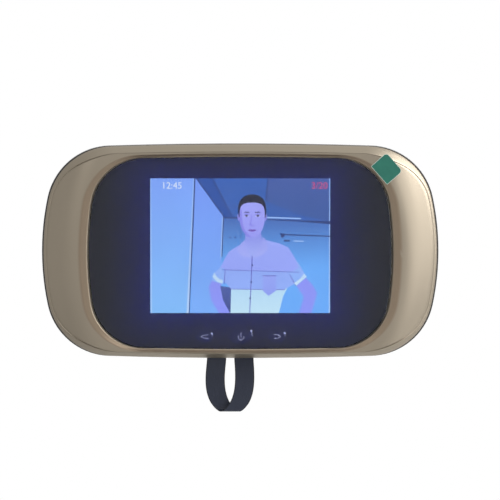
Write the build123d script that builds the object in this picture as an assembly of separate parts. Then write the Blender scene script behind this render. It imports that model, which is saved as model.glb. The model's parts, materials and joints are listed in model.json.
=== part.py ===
from build123d import *
import os
from math import cos, hypot, radians, sin, sqrt, tan

# Peephole door camera: an indoor screen unit that hangs on a bracket, a hollow
# threaded tube through the door, and a round camera head with a bell button outside.
#
# Bench frame used while modelling: X to the right, Y up, Z out of the door's inner
# face towards the room. Each piece is stood up at the end, so that in the written
# files +Z is up, +Y runs outdoors through the door and the origin is where the tube's
# axis meets the door's inner face. Millimetres throughout.

# Active picture area of the screen, and where its middle sits
PICTURE_WIDE = 57.6
PICTURE_TALL = 43.2
PICTURE_Y = 2.07

# Battery cells and the length of their bay
CELL_R = 5.2
CELL_LONG = 43.2
CELL_NUB_R = 1.9
CELL_NUB_TALL = 1.2
BAY_SPRING_ROOM = 2.2
BAY_HALF_TALL = (CELL_LONG + CELL_NUB_TALL) / 2 + BAY_SPRING_ROOM

# The panel is as tall as the picture asks, the body as tall as the panel or the cells ask
PANEL_END_MARGIN = 9.15
PANEL_TO_COLLAR = 1.1
PANEL_TO_BODY = 3.55
BAY_TO_BODY = 9.9
BODY_TO_CREASE = 1.85
PANEL_HALF_TALL = PICTURE_TALL / 2 + PANEL_END_MARGIN
BODY_HALF_TALL = max(PANEL_HALF_TALL + PANEL_TO_BODY, BAY_HALF_TALL + BAY_TO_BODY)

# Outlines of eight tangent arcs: half width, half height, side, corner and top radius
BODY_HALF_WIDE = 63.13
COVER_PROUD_SIDE = 0.5
COVER_PROUD_TOP = 0.1
COVER_HALF_TALL = BODY_HALF_TALL + COVER_PROUD_TOP
BODY_OUTLINE = (BODY_HALF_WIDE, BODY_HALF_TALL, 82.2, 20.97, 1310.0)
COVER_OUTLINE = (BODY_HALF_WIDE + COVER_PROUD_SIDE, COVER_HALF_TALL, 82.7, 20.7, 1310.0)
CREASE_OUTLINE = (60.8, BODY_HALF_TALL - BODY_TO_CREASE, 82.0, 20.7, 1250.0)
PANEL_OUTLINE = (48.5, PANEL_HALF_TALL, 113.9, 17.1, 1235.0)
COLLAR_OUTLINE = (51.1, PANEL_HALF_TALL + PANEL_TO_COLLAR, 104.0, 18.6, 1240.0)

# Heights of the screen unit above the door's inner face
REAR_FACE = 1.6
PART_LINE = 9.5
EDGE_TOP = 10.9
PANEL_TOP = 16.6
FRONT_TOP = 18.2
WALL = 1.8
REAR_WALL = 1.6
FIT = 0.1
GAP = 0.3
OVERRUN = 2.0

# Front frame
END_ROLL_R = 11.0
END_SLOPE_DEG = 38.0
PANEL_DROP = 0.18
PANEL_THICK = 1.5
LEDGE_THICK = 1.2
LEDGE_WIDE = 1.0
RING_WIDE = 1.25
CASE_BOSS_X = 44.0
CASE_BOSS_INSET = 6.1
CASE_BOSS_Y = BODY_HALF_TALL - CASE_BOSS_INSET
CASE_BOSS_R = 2.4
CASE_SCREW_R = 1.0
CASE_HEAD_R = 1.9
CASE_HEAD_THICK = 1.2
CASE_SCREW_LENGTH = 10.0
BOARD_INSET = 4.0
BOARD_HALF_TALL = BODY_HALF_TALL - BOARD_INSET
BOARD_POST_X = 31.5
BOARD_POST_INSET = 1.4
BOARD_POST_Y = BOARD_HALF_TALL - BOARD_POST_INSET
BOARD_POST_R = 1.7
BOARD_SCREW_R = 0.7
BOARD_HEAD_R = 1.5
BOARD_HEAD_THICK = 0.9
BOARD_SCREW_LENGTH = 3.6

# Film over the panel, with its pull tab at the upper right
FILM_THICK = 0.12
FILM_INSET = 0.25
TAB_LONG = 7.3
TAB_WIDE = 6.3
TAB_CORNER_R = 1.1
TAB_THICK = 0.16
TAB_X = 46.75
TAB_INSET = 3.83
TAB_Y = PANEL_HALF_TALL - TAB_INSET
TAB_TURN_DEG = -48.5

# Keys below the screen
KEY_CENTRE_X = 0.1
KEY_PITCH = 11.6
KEY_INSET = 3.77
KEY_Y = KEY_INSET - PANEL_HALF_TALL
POWER_KEY_LONG = 7.2
POWER_KEY_WIDE = 4.4
SIDE_KEY_LONG = 5.4
SIDE_KEY_WIDE = 3.8
KEY_CLEAR = 0.2
KEY_FLANGE_WIDE = 0.55
KEY_FLANGE_THICK = 0.8
KEY_STEM_R = 1.0
KEY_TRAVEL = 0.35
KEY_DISH_R = 24.0
SWITCH_SIZE = 3.4
SWITCH_TALL = 1.6
SWITCH_BUTTON_R = 0.9
SWITCH_BUTTON_TALL = 0.35

# Screen module: margins round the picture area, and layers
LCD_LEFT_MARGIN = 2.65
LCD_RIGHT_MARGIN = 8.95
LCD_END_MARGIN = 3.4
LCD_SKIN = 0.25
LCD_GLASS_THICK = 1.1
LCD_GLASS_GAP = 0.3
BACKLIGHT_THICK = 2.4
LCD_LIP = 1.6

# Main board and what it carries
BOARD_LEFT = -33.0
BOARD_RIGHT = 33.5
BOARD_BACK = 9.4
BOARD_THICK = 1.0
BOARD_CORNER_R = 2.0
USB_X = 12.6
USB_WIDE = 7.5
USB_TALL = 2.6
USB_DEEP = 5.6
USB_SKIN = 0.3
USB_INSET = 0.59
USB_MOUTH_Y = USB_INSET - BODY_HALF_TALL
CARD_X = 23.6
CARD_WIDE = 11.0
CARD_LONG = 15.0
CARD_THICK = 0.7
CARD_TOE = 1.2
CARD_PROUD = 0.11
CARD_END_Y = -CARD_PROUD - COVER_HALF_TALL
CARD_SOCKET_WIDE = 12.4
CARD_OUTSIDE_SOCKET = 2.4
CARD_SOCKET_LONG = CARD_LONG - CARD_OUTSIDE_SOCKET
CARD_SOCKET_TALL = 1.5
CARD_HEIGHT = 8.7

# Rear cover, its recess for the bracket's nut and the cable channel
TONGUE_ROOT = 0.3
COVER_EDGE_R = 3.0
COVER_INNER_R = 1.2
TONGUE_TALL = 1.0
TONGUE_THICK = 0.8
RECESS_HALF_WIDE = 22.0
RECESS_TOP = 14.6
RECESS_LOW = -16.5
RECESS_FLOOR = 7.0
RECESS_WALL = 0.8
CHANNEL_LEFT = -13.0
CHANNEL_RIGHT = 7.0

# Bracket with four hooks
BRACKET_HALF_WIDE = 31.0
BRACKET_HALF_TALL = 18.0
BRACKET_THICK = 1.2
BRACKET_CORNER_R = 4.0
HOOK_X = 27.0
HOOK_Y = 13.0
HOOK_WIDE = 5.5
HOOK_TALL = 4.6
HOOK_REACH = 3.6
HOOK_STAND = 2.4
HOOK_SLOT_CLEAR = 0.55
HOOK_REST_GAP = 0.05
LIFT = 5.0
SCREW_HOLE_X = 18.0
SCREW_HOLE_Y = 9.0
SCREW_HOLE_R = 1.75

# Tube and nut
DOOR_THICK = 40.0
TUBE_R = 7.0
TUBE_BORE_R = 5.0
TUBE_END = 4.8
TUBE_FLANGE_R = 10.5
TUBE_FLANGE_THICK = 1.4
TUBE_HOLE_CLEAR = 0.15
NUT_R = 12.0
NUT_THICK = 3.0
NUT_BORE_CLEAR = 0.05
NUT_NOTCH_WIDE = 2.4
NUT_NOTCH_DEEP = 1.6
NUT_NOTCHES = 6

# Battery bay on the left, cells side by side
CELL_PITCH = 10.7
CELL_MID_X = -44.6
CELL_HEIGHT = 7.85
BAY_CLEAR = 0.15
BAY_WALL = 0.6
BAY_CORNER_R = 2.4
CONTACT_WIDE = 5.8
CONTACT_THICK = 0.4
SPRING_R = 2.4
SPRING_WIRE_R = 0.3
SPRING_TURNS = 3.0
SPRING_GAP = 0.1
LID_THICK = 1.0
LID_REBATE = 1.4
LID_CORNER_R = 6.0
LID_CLEAR = 0.15
LID_CLIP_WIDE = 2.4
LID_CLIP_THICK = 0.8
LID_CLIP_DEEP = 3.0
LID_GRIP_WIDE = 9.0
LID_GRIP_RIBS = 5
LID_GRIP_PITCH = 1.2
LID_GRIP_RIB = 0.5

# Speaker behind a slotted grille on the right
SPEAKER_X = 45.0
SPEAKER_R = 14.0
SPEAKER_RIM = 2.4
SPEAKER_RIM_TALL = 1.3
SPEAKER_FLARE = 5.6
SPEAKER_NECK_R = SPEAKER_R - SPEAKER_FLARE
SPEAKER_BASKET_TALL = 3.0
SPEAKER_SKIN = 0.5
MAGNET_INSET = 0.8
MAGNET_R = SPEAKER_NECK_R - MAGNET_INSET
MAGNET_TALL = 1.5
CONE_INSET = 2.8
CONE_R = SPEAKER_R - CONE_INSET
CONE_HUB_R = 3.6
CONE_DEEP = 1.8
SPEAKER_RING_CLEAR = 0.2
SPEAKER_RING_WALL = 0.8
SPEAKER_RING_TALL = 2.0
GRILLE_SLOTS = 7
GRILLE_PITCH = 3.0
GRILLE_SLOT = 1.3
GRILLE_R = CONE_R + SPEAKER_RING_CLEAR

# Ribbon connector on the board's back, with its flip latch
RIBBON_X = -7.36
CONNECTOR_WIDE = 9.0
CONNECTOR_TOP_Y = -15.2
CONNECTOR_LONG = 5.2
CONNECTOR_HEIGHT = 5.7
CONNECTOR_SLOT = 0.6
CONNECTOR_SLOT_DEEP = 3.6
LATCH_THICK = 0.5
LATCH_LONG = 2.8
LATCH_WIDE = 8.4
LATCH_GAP = 0.1

# Ribbon cable, a flat flexible strip
RIBBON_WIDE = 6.2
RIBBON_THICK = 0.3
# Route of the free loop in shares of one length: across, up, and out from the door. It
# starts in the tube's mouth, hangs below the unit, folds back under itself and comes up
# to the connector. The strip lies level all the way.
ROUTE_LONG = 10.0
RIBBON_ROUTE_SHARES = (
    (0.0, 0.0, 0.44),
    (0.0, 0.0, 0.5),
    (0.0, -0.04, 0.58),
    (0.003, -0.12, 0.62),
    (0.01, -0.28, 0.65),
    (0.035, -0.95, 0.645),
    (0.075, -1.8, 0.63),
    (0.1, -2.7, 0.61),
    (0.114, -3.49, 0.6),
    (0.142, -3.85, 0.63),
    (0.147, -4.22, 0.66),
    (0.105, -4.58, 0.68),
    (0.005, -4.87, 0.69),
    (-0.15, -5.08, 0.69),
    (-0.285, -5.19, 0.64),
    (-0.395, -5.19, 0.49),
    (-0.53, -5.08, 0.44),
    (-0.68, -4.87, 0.44),
    (-0.78, -4.58, 0.455),
    (-0.815, -4.22, 0.49),
    (-0.795, -3.85, 0.54),
    (-0.755, -3.49, 0.585),
    (-0.74, -2.7, 0.615),
    (-0.736, -2.18, 0.63),
    (-0.736, -1.9, 0.63),
    (-0.736, -1.71, 0.63),
)

# Outdoor head: the face holds the lens and the bell button, the rest goes round it.
# Distances are out from the door's outer face.
LENS_RING_R = 8.8
BELL_R = 4.6
FACE_SPARE = 7.6
FACE_R = LENS_RING_R + BELL_R + FACE_SPARE
HEAD_LIP = 4.6
HEAD_DRAFT = 1.4
HEAD_TOP_R = FACE_R + HEAD_LIP
HEAD_R = HEAD_TOP_R + HEAD_DRAFT
HEAD_DEEP = 17.0
HEAD_WALL = 2.0
HEAD_EDGE_R = 3.2
GASKET_THICK = 1.0
GASKET_INSET = 0.6
GASKET_R = HEAD_R - GASKET_INSET
BASE_THICK = 2.0
BASE_CLEAR = 0.4
BASE_R = HEAD_R - HEAD_WALL - BASE_CLEAR
BASE_POST_DEGS = (90, 210, 330)
BASE_POST_R = 2.2
FACE_THICK = 1.6
FACE_RECESS = 0.5
FACE_LEDGE = 1.2
FACE_LEDGE_THICK = 1.0
HEAD_SCREW_INSET = 3.0
HEAD_SCREW_RING = HEAD_R - HEAD_WALL - HEAD_SCREW_INSET
HEAD_BOSS_R = 2.3
GASKET_HOLE_R = HEAD_SCREW_RING - HEAD_SCREW_INSET
CAMERA_BOARD_CLEAR = 0.5
CAMERA_BOARD_R = HEAD_SCREW_RING - HEAD_BOSS_R - CAMERA_BOARD_CLEAR
BASE_POST_INSET = 3.6
BASE_POST_RING = CAMERA_BOARD_R - BASE_POST_INSET
CAMERA_BOARD_BACK = 8.0
CAMERA_BOARD_THICK = 1.0
LENS_INSET = 8.2
LENS_Y = FACE_R - LENS_RING_R - LENS_INSET
SENSOR_SIZE = 8.0
SENSOR_TALL = 1.1
HOLDER_SIZE = 13.4
HOLDER_TALL = 3.6
BARREL_R = 5.9
BARREL_WALL = 0.9
BARREL_TOP = 17.0
LENS_HOLE_R = 6.3
LENS_RING_TALL = 1.3
LENS_CAP_TALL = 1.0
LENS_PLATE_THICK = 1.0
LED_R = 1.5
LED_BASE_R = 1.8
LED_BASE_TALL = 1.0
LED_COUNT = 6
LED_SPACE = 3.0
LED_RING = LENS_RING_R + LED_SPACE
LED_STEP_DEG = 36.0
LIGHT_SENSOR_X = 9.8
LIGHT_SENSOR_Y = -4.4
BELL_INSET = 3.4
BELL_Y = BELL_R + BELL_INSET - FACE_R
BELL_CLEAR = 0.2
BELL_PROUD = 0.9
BELL_FLANGE_R = 5.6
BELL_FLANGE_THICK = 0.9
BELL_STEM_R = 1.4
BELL_TRAVEL = 0.8
BELL_DISH_R = 9.0
BELL_SWITCH_SIZE = 6.0
BELL_SWITCH_TALL = 3.2
BELL_SWITCH_BUTTON_R = 1.6
BELL_SWITCH_BUTTON_TALL = 0.3
HEAD_SCREW_DEGS = (30, 150, 270)
HEAD_SCREW_R = 1.1
HEAD_SCREW_HEAD_R = 1.9
HEAD_SCREW_LENGTH = 8.0
HEAD_BOSS_TOP = 12.0

SIDES = (-1, 1)
LCD_BACK = BOARD_BACK + BOARD_THICK + GAP
PANEL_BACK = PANEL_TOP - PANEL_THICK
LEDGE_BACK = PANEL_BACK - LEDGE_THICK
REAR_INNER = REAR_FACE + REAR_WALL
LCD_MID_X = (LCD_RIGHT_MARGIN - LCD_LEFT_MARGIN) / 2
LCD_WIDE = PICTURE_WIDE + LCD_LEFT_MARGIN + LCD_RIGHT_MARGIN
LCD_TALL = PICTURE_TALL + 2 * LCD_END_MARGIN
LCD_GLASS_TOP = PANEL_BACK - LCD_GLASS_GAP


# Shapes shared by several pieces

def shrink(outline, inset):
    """The parallel outline that lies inset inside the given one."""
    return tuple(size - inset for size in outline)


def outline_face(outline, z=0.0, y=0.0):
    """Flat face bounded by two side arcs, four corner arcs, a top and a bottom arc."""
    half_w, half_h, side_r, corner_r, top_r = outline
    side_x = half_w - side_r
    top_y = half_h - top_r
    span = hypot(side_x, top_y)
    from_side = side_r - corner_r
    from_top = top_r - corner_r
    along = (from_side ** 2 - from_top ** 2 + span ** 2) / (2 * span)
    across = sqrt(from_side ** 2 - along ** 2)
    centre_x = side_x - side_x / span * along - top_y / span * across
    centre_y = top_y / span * along - side_x / span * across
    to_side = ((centre_x - side_x) / from_side, centre_y / from_side)
    to_top = (centre_x / from_top, (centre_y - top_y) / from_top)
    middle = (to_side[0] + to_top[0], to_side[1] + to_top[1])
    reach = corner_r / hypot(*middle)
    low = (centre_x + corner_r * to_side[0], centre_y + corner_r * to_side[1])
    mid = (centre_x + reach * middle[0], centre_y + reach * middle[1])
    high = (centre_x + corner_r * to_top[0], centre_y + corner_r * to_top[1])

    def spot(point, flip_x, flip_y):
        return (flip_x * point[0], flip_y * point[1] + y, z)

    arcs = [ThreePointArc(spot(low, 1, -1), spot((half_w, 0), 1, 1), spot(low, 1, 1))]
    arcs += [ThreePointArc(spot(low, 1, 1), spot(mid, 1, 1), spot(high, 1, 1))]
    arcs += [ThreePointArc(spot(high, 1, 1), spot((0, half_h), 1, 1), spot(high, -1, 1))]
    arcs += [ThreePointArc(spot(high, -1, 1), spot(mid, -1, 1), spot(low, -1, 1))]
    arcs += [ThreePointArc(spot(low, -1, 1), spot((half_w, 0), -1, 1), spot(low, -1, -1))]
    arcs += [ThreePointArc(spot(low, -1, -1), spot(mid, -1, -1), spot(high, -1, -1))]
    arcs += [ThreePointArc(spot(high, -1, -1), spot((0, half_h), 1, -1), spot(high, 1, -1))]
    arcs += [ThreePointArc(spot(high, 1, -1), spot(mid, 1, -1), spot(low, 1, -1))]
    return Face(Wire(arcs))


def outline_slab(outline, z_low, z_high, y=0.0):
    """Straight prism of an eight-arc outline between two heights."""
    return Solid.extrude(outline_face(outline, z_low, y), Vector(0, 0, z_high - z_low))


def outline_taper(low, z_low, high, z_high, y=0.0):
    """Sloped band between two eight-arc outlines at two heights."""
    return loft([outline_face(low, z_low, y), outline_face(high, z_high, y)], ruled=True)


def block(x_low, x_high, y_low, y_high, z_low, z_high):
    """Box between two opposite corners."""
    middle = Pos((x_low + x_high) / 2, (y_low + y_high) / 2, (z_low + z_high) / 2)
    return middle * Box(x_high - x_low, y_high - y_low, z_high - z_low)


def rod(x, y, radius, z_low, z_high):
    """Round rod along Z between two heights."""
    return Pos(x, y, (z_low + z_high) / 2) * Cylinder(radius, z_high - z_low)


def pill(x, y, long, wide, z_low, z_high):
    """Round-ended bar, lying across, between two heights."""
    return Pos(x, y, z_low) * extrude(SlotOverall(long, wide), z_high - z_low)


def tile(x, y, wide, tall, corner_r, z_low, z_high):
    """Round-cornered plate between two heights."""
    return Pos(x, y, z_low) * extrude(RectangleRounded(wide, tall, corner_r), z_high - z_low)


def turned(points):
    """Solid turned about Z from the points (radius, height) of its closed profile."""
    edge = Polyline(*[(radius, 0, height) for radius, height in points], close=True)
    return revolve(make_face(edge), Axis.Z)


def four_corners(x, y):
    return [(side * x, end * y) for side in SIDES for end in SIDES]


# Front frame: bevelled rim, ends that roll back, sloped collar round the panel

def end_cut(drop):
    """Space in front of the right end, above the rolled and then sloped surface."""
    start_x = COLLAR_OUTLINE[0]
    top = FRONT_TOP - drop
    slope = radians(END_SLOPE_DEG)
    roll_x = start_x + END_ROLL_R * sin(slope)
    roll_z = top - END_ROLL_R * (1 - cos(slope))
    half_x = start_x + END_ROLL_R * sin(slope / 2)
    half_z = top - END_ROLL_R * (1 - cos(slope / 2))
    far_x = BODY_OUTLINE[0] + OVERRUN
    far_z = roll_z - (far_x - roll_x) * tan(slope)
    high = FRONT_TOP + OVERRUN
    roll = ThreePointArc((start_x, 0, top), (half_x, 0, half_z), (roll_x, 0, roll_z))
    corners = [(roll_x, 0, roll_z), (far_x, 0, far_z), (far_x, 0, high), (start_x, 0, high)]
    rest = Polyline(*corners, (start_x, 0, top))
    return extrude(make_face([roll, rest]), BODY_OUTLINE[1] + OVERRUN, dir=(0, 1, 0), both=True)


def front_form(inset):
    """Rim, bevel and rolled ends, the whole form drawn in by one wall for the inside."""
    low = shrink(BODY_OUTLINE, inset)
    high = shrink(CREASE_OUTLINE, inset)
    form = outline_slab(low, PART_LINE, EDGE_TOP)
    form += outline_taper(low, EDGE_TOP, high, FRONT_TOP - inset)
    cut = end_cut(inset)
    form -= cut
    form -= mirror(cut, Plane.YZ)
    return form


def front_frame():
    outer = front_form(0)
    frame = outer - front_form(WALL)
    ring = outline_slab(shrink(COLLAR_OUTLINE, -RING_WIDE), LEDGE_BACK, FRONT_TOP, -PANEL_DROP)
    frame += outer & ring
    for x, y in four_corners(CASE_BOSS_X, CASE_BOSS_Y):
        frame += outer & rod(x, y, CASE_BOSS_R, PART_LINE, FRONT_TOP)
    for x, y in four_corners(BOARD_POST_X, BOARD_POST_Y):
        frame += rod(x, y, BOARD_POST_R, BOARD_BACK + BOARD_THICK, PANEL_BACK)
    frame -= outline_taper(PANEL_OUTLINE, PANEL_TOP, COLLAR_OUTLINE, FRONT_TOP, -PANEL_DROP)
    frame -= outline_slab(shrink(PANEL_OUTLINE, -FIT), PANEL_BACK, PANEL_TOP, -PANEL_DROP)
    window = outline_slab(shrink(PANEL_OUTLINE, LEDGE_WIDE), LEDGE_BACK - OVERRUN, PANEL_BACK, -PANEL_DROP)
    for x, y in four_corners(BOARD_POST_X, BOARD_POST_Y):
        window -= rod(x, y, BOARD_POST_R, LEDGE_BACK - OVERRUN, PANEL_BACK)
    frame -= window
    for x, y in four_corners(CASE_BOSS_X, CASE_BOSS_Y):
        frame -= rod(x, y, CASE_SCREW_R + FIT, PART_LINE, REAR_FACE + CASE_SCREW_LENGTH + GAP)
    for x, y in four_corners(BOARD_POST_X, BOARD_POST_Y):
        frame -= rod(x, y, BOARD_SCREW_R + FIT, BOARD_BACK, BOARD_BACK + BOARD_SCREW_LENGTH)
    return frame


# Panel, film and tab

def key_sizes():
    """Place, length and width of the left, power and right key."""
    return (
        ("key_left", KEY_CENTRE_X - KEY_PITCH, SIDE_KEY_LONG, SIDE_KEY_WIDE),
        ("key_power", KEY_CENTRE_X, POWER_KEY_LONG, POWER_KEY_WIDE),
        ("key_right", KEY_CENTRE_X + KEY_PITCH, SIDE_KEY_LONG, SIDE_KEY_WIDE),
    )


def front_panel():
    panel = outline_slab(PANEL_OUTLINE, PANEL_BACK, PANEL_TOP, -PANEL_DROP)
    for name, x, long, wide in key_sizes():
        panel -= pill(x, KEY_Y, long + 2 * KEY_CLEAR, wide + 2 * KEY_CLEAR, PANEL_BACK, PANEL_TOP)
    return panel


def protective_film():
    return outline_slab(shrink(PANEL_OUTLINE, FILM_INSET), PANEL_TOP, PANEL_TOP + FILM_THICK, -PANEL_DROP)


def film_pull_tab():
    """Tongue stuck to the film's corner, standing out level over the sloped collar."""
    low = FRONT_TOP + FIT
    tongue = extrude(RectangleRounded(TAB_LONG, TAB_WIDE, TAB_CORNER_R), TAB_THICK)
    return Pos(TAB_X, TAB_Y, low) * Rot(0, 0, TAB_TURN_DEG) * tongue


# Keys: dished caps through the panel, each with a flange behind it and a stem

def key_cap(x, long, wide):
    flange_top = PANEL_BACK - FIT / 2
    cap = pill(x, KEY_Y, long, wide, flange_top, PANEL_TOP)
    dish = Pos(x, KEY_Y, PANEL_TOP + KEY_DISH_R - FIT) * Sphere(KEY_DISH_R)
    cap -= dish
    margin = 2 * KEY_FLANGE_WIDE
    cap += pill(x, KEY_Y, long + margin, wide + margin, flange_top - KEY_FLANGE_THICK, flange_top)
    cap += rod(x, KEY_Y, KEY_STEM_R, switch_top() + KEY_TRAVEL + FIT, flange_top - KEY_FLANGE_THICK)
    return cap


def switch_top():
    return BOARD_BACK + BOARD_THICK + SWITCH_TALL + SWITCH_BUTTON_TALL


def key_switches():
    """Three tact switches on the board, one behind each key."""
    base = BOARD_BACK + BOARD_THICK
    half = SWITCH_SIZE / 2
    switches = []
    for name, x, long, wide in key_sizes():
        body = block(x - half, x + half, KEY_Y - half, KEY_Y + half, base, base + SWITCH_TALL)
        body += rod(x, KEY_Y, SWITCH_BUTTON_R, base + SWITCH_TALL, switch_top())
        switches.append(body)
    return Compound(switches)


# Screen module: pressed tray, backlight block and glass

def lcd_block(inset, z_low, z_high):
    slab = Box(LCD_WIDE - 2 * inset, LCD_TALL - 2 * inset, z_high - z_low)
    return Pos(LCD_MID_X, PICTURE_Y, (z_low + z_high) / 2) * slab


def lcd_frame():
    """Tray of thin sheet with side walls, folded in at the top round the glass."""
    tray = lcd_block(0, LCD_BACK, LCD_GLASS_TOP + LCD_SKIN)
    tray -= lcd_block(LCD_SKIN, LCD_BACK + LCD_SKIN, LCD_GLASS_TOP + FIT / 2)
    return tray - lcd_block(LCD_LIP, LCD_GLASS_TOP, LCD_GLASS_TOP + OVERRUN)


def backlight_unit():
    low = LCD_BACK + LCD_SKIN
    return lcd_block(LCD_SKIN + FIT, low, low + BACKLIGHT_THICK)


def lcd_glass():
    return lcd_block(LCD_SKIN + FIT, LCD_GLASS_TOP - LCD_GLASS_THICK, LCD_GLASS_TOP)


# Main board

def main_board():
    mid_x = (BOARD_LEFT + BOARD_RIGHT) / 2
    board = tile(mid_x, 0, BOARD_RIGHT - BOARD_LEFT, 2 * BOARD_HALF_TALL, BOARD_CORNER_R, BOARD_BACK,
                 BOARD_BACK + BOARD_THICK)
    for x, y in four_corners(BOARD_POST_X, BOARD_POST_Y):
        board -= rod(x, y, BOARD_SCREW_R + FIT, BOARD_BACK, BOARD_BACK + BOARD_THICK)
    return board


# Chips on the board's back: across and up as shares of the board's half sizes, then
# width and length as shares of the largest chip
CHIP_SIZE = 11.0
CHIP_TALL = 0.9
CHIP_PLACE_SHARES = (
    (-0.30, 0.18, 1.0, 1.0),
    (0.22, 0.30, 0.8, 0.6),
    (0.20, -0.05, 0.5, 0.5),
    (-0.35, -0.22, 0.5, 0.7),
    (0.30, 0.74, 0.6, 0.4),
    (-0.25, 0.74, 0.7, 0.5),
)


def board_chips():
    chips = []
    for x_share, y_share, wide_share, tall_share in CHIP_PLACE_SHARES:
        x = x_share * BOARD_RIGHT
        y = y_share * BOARD_HALF_TALL
        half_w = wide_share * CHIP_SIZE / 2
        half_h = tall_share * CHIP_SIZE / 2
        chip = block(x - half_w, x + half_w, y - half_h, y + half_h, BOARD_BACK - CHIP_TALL, BOARD_BACK)
        chips.append(chip)
    return Compound(chips)


def usb_socket():
    """Open shell of folded sheet with the contact tongue inside, mouth downwards."""
    half = USB_WIDE / 2
    low = BOARD_BACK - USB_TALL
    end = USB_MOUTH_Y + USB_DEEP
    shell = block(USB_X - half, USB_X + half, USB_MOUTH_Y, end, low, BOARD_BACK)
    shell -= block(USB_X - half + USB_SKIN, USB_X + half - USB_SKIN, USB_MOUTH_Y - OVERRUN, end - USB_SKIN,
                   low + USB_SKIN, BOARD_BACK - USB_SKIN)
    tongue = USB_WIDE / 4
    middle = BOARD_BACK - USB_TALL / 2
    shell += block(USB_X - tongue, USB_X + tongue, USB_MOUTH_Y + 2 * USB_SKIN, end - USB_SKIN,
                   middle - USB_SKIN, middle + USB_SKIN)
    return shell


def card_socket():
    """Low metal can, open below, that the memory card slides into."""
    half = CARD_SOCKET_WIDE / 2
    card_half = CARD_WIDE / 2
    top = CARD_END_Y + CARD_TOE + CARD_LONG
    low = top - CARD_SOCKET_LONG + FIT
    can = block(CARD_X - half, CARD_X + half, low, top, BOARD_BACK - CARD_SOCKET_TALL, BOARD_BACK)
    slot = CARD_THICK / 2 + FIT
    can -= block(CARD_X - card_half - FIT, CARD_X + card_half + FIT, low - OVERRUN,
                 CARD_END_Y + CARD_LONG + FIT, CARD_HEIGHT - slot, CARD_HEIGHT + slot)
    return can


def memory_card():
    """Thin card with one stepped edge."""
    half = CARD_WIDE / 2
    thick = CARD_THICK / 2
    high = CARD_END_Y + CARD_LONG
    card = block(CARD_X - half, CARD_X + half, CARD_END_Y, high, CARD_HEIGHT - thick, CARD_HEIGHT + thick)
    card -= block(CARD_X + half - CARD_TOE, CARD_X + half, high - CARD_LONG / 2, high, CARD_HEIGHT - thick,
                  CARD_HEIGHT + thick)
    return card


# Rear cover: shell with a recess, hook slots, battery bay, grille and screw wells

def cover_form(outline, floor, edge_r):
    """Slab up to the part line with its door side edge rounded."""
    form = outline_slab(outline, floor, PART_LINE)
    rim = form.edges().filter_by_position(Axis.Z, floor, floor)
    return fillet(rim, edge_r)


def recess_block(grow, floor):
    """Recess for bracket, nut and tube, with the cable channel down to the edge."""
    upper = block(-RECESS_HALF_WIDE - grow, RECESS_HALF_WIDE + grow, RECESS_LOW - grow, RECESS_TOP + grow,
                  REAR_FACE, floor)
    lower = block(CHANNEL_LEFT - grow, CHANNEL_RIGHT + grow, -COVER_HALF_TALL - OVERRUN, RECESS_LOW,
                  REAR_FACE, floor)
    return upper + lower


def hook_slot(x, y):
    """Window that lets a hook's tongue through while the unit is lifted."""
    half = HOOK_WIDE / 2 + HOOK_SLOT_CLEAR
    top = y - HOOK_TALL + BRACKET_THICK + HOOK_REST_GAP
    bottom = y - HOOK_TALL - LIFT - GAP
    return block(x - half, x + half, bottom, top, REAR_FACE, REAR_INNER)


def bay_half_wide():
    return CELL_PITCH / 2 + CELL_R + BAY_CLEAR


def bay_slab(grow, corner_r, z_low, z_high):
    """Round-cornered slab round both cells, grown by a wall or a rebate."""
    wide = 2 * (bay_half_wide() + grow)
    tall = 2 * (BAY_HALF_TALL + grow)
    return tile(CELL_MID_X, 0, wide, tall, corner_r, z_low, z_high)


def battery_bay(grow):
    """Bay open to the rear, its floor two troughs that follow the cells."""
    radius = CELL_R + BAY_CLEAR + grow
    top = CELL_HEIGHT + radius
    troughs = bay_slab(grow, BAY_CORNER_R + grow, REAR_FACE, CELL_HEIGHT)
    for x, up in cell_places():
        length = 2 * (BAY_HALF_TALL + grow)
        troughs += Pos(x, 0, CELL_HEIGHT) * Rot(90, 0, 0) * Cylinder(radius, length)
    return troughs & bay_slab(grow, BAY_CORNER_R + grow, REAR_FACE, top)


def speaker_grille():
    """Upright slots that fill a circle over the speaker."""
    slots = []
    first = -(GRILLE_SLOTS - 1) / 2
    for index in range(GRILLE_SLOTS):
        off = (first + index) * GRILLE_PITCH
        half = sqrt(GRILLE_R ** 2 - off ** 2)
        slot = Rot(0, 0, 90) * pill(0, 0, 2 * half, GRILLE_SLOT, REAR_FACE, REAR_INNER)
        slots.append(Pos(SPEAKER_X + off, 0, 0) * slot)
    return slots


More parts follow.
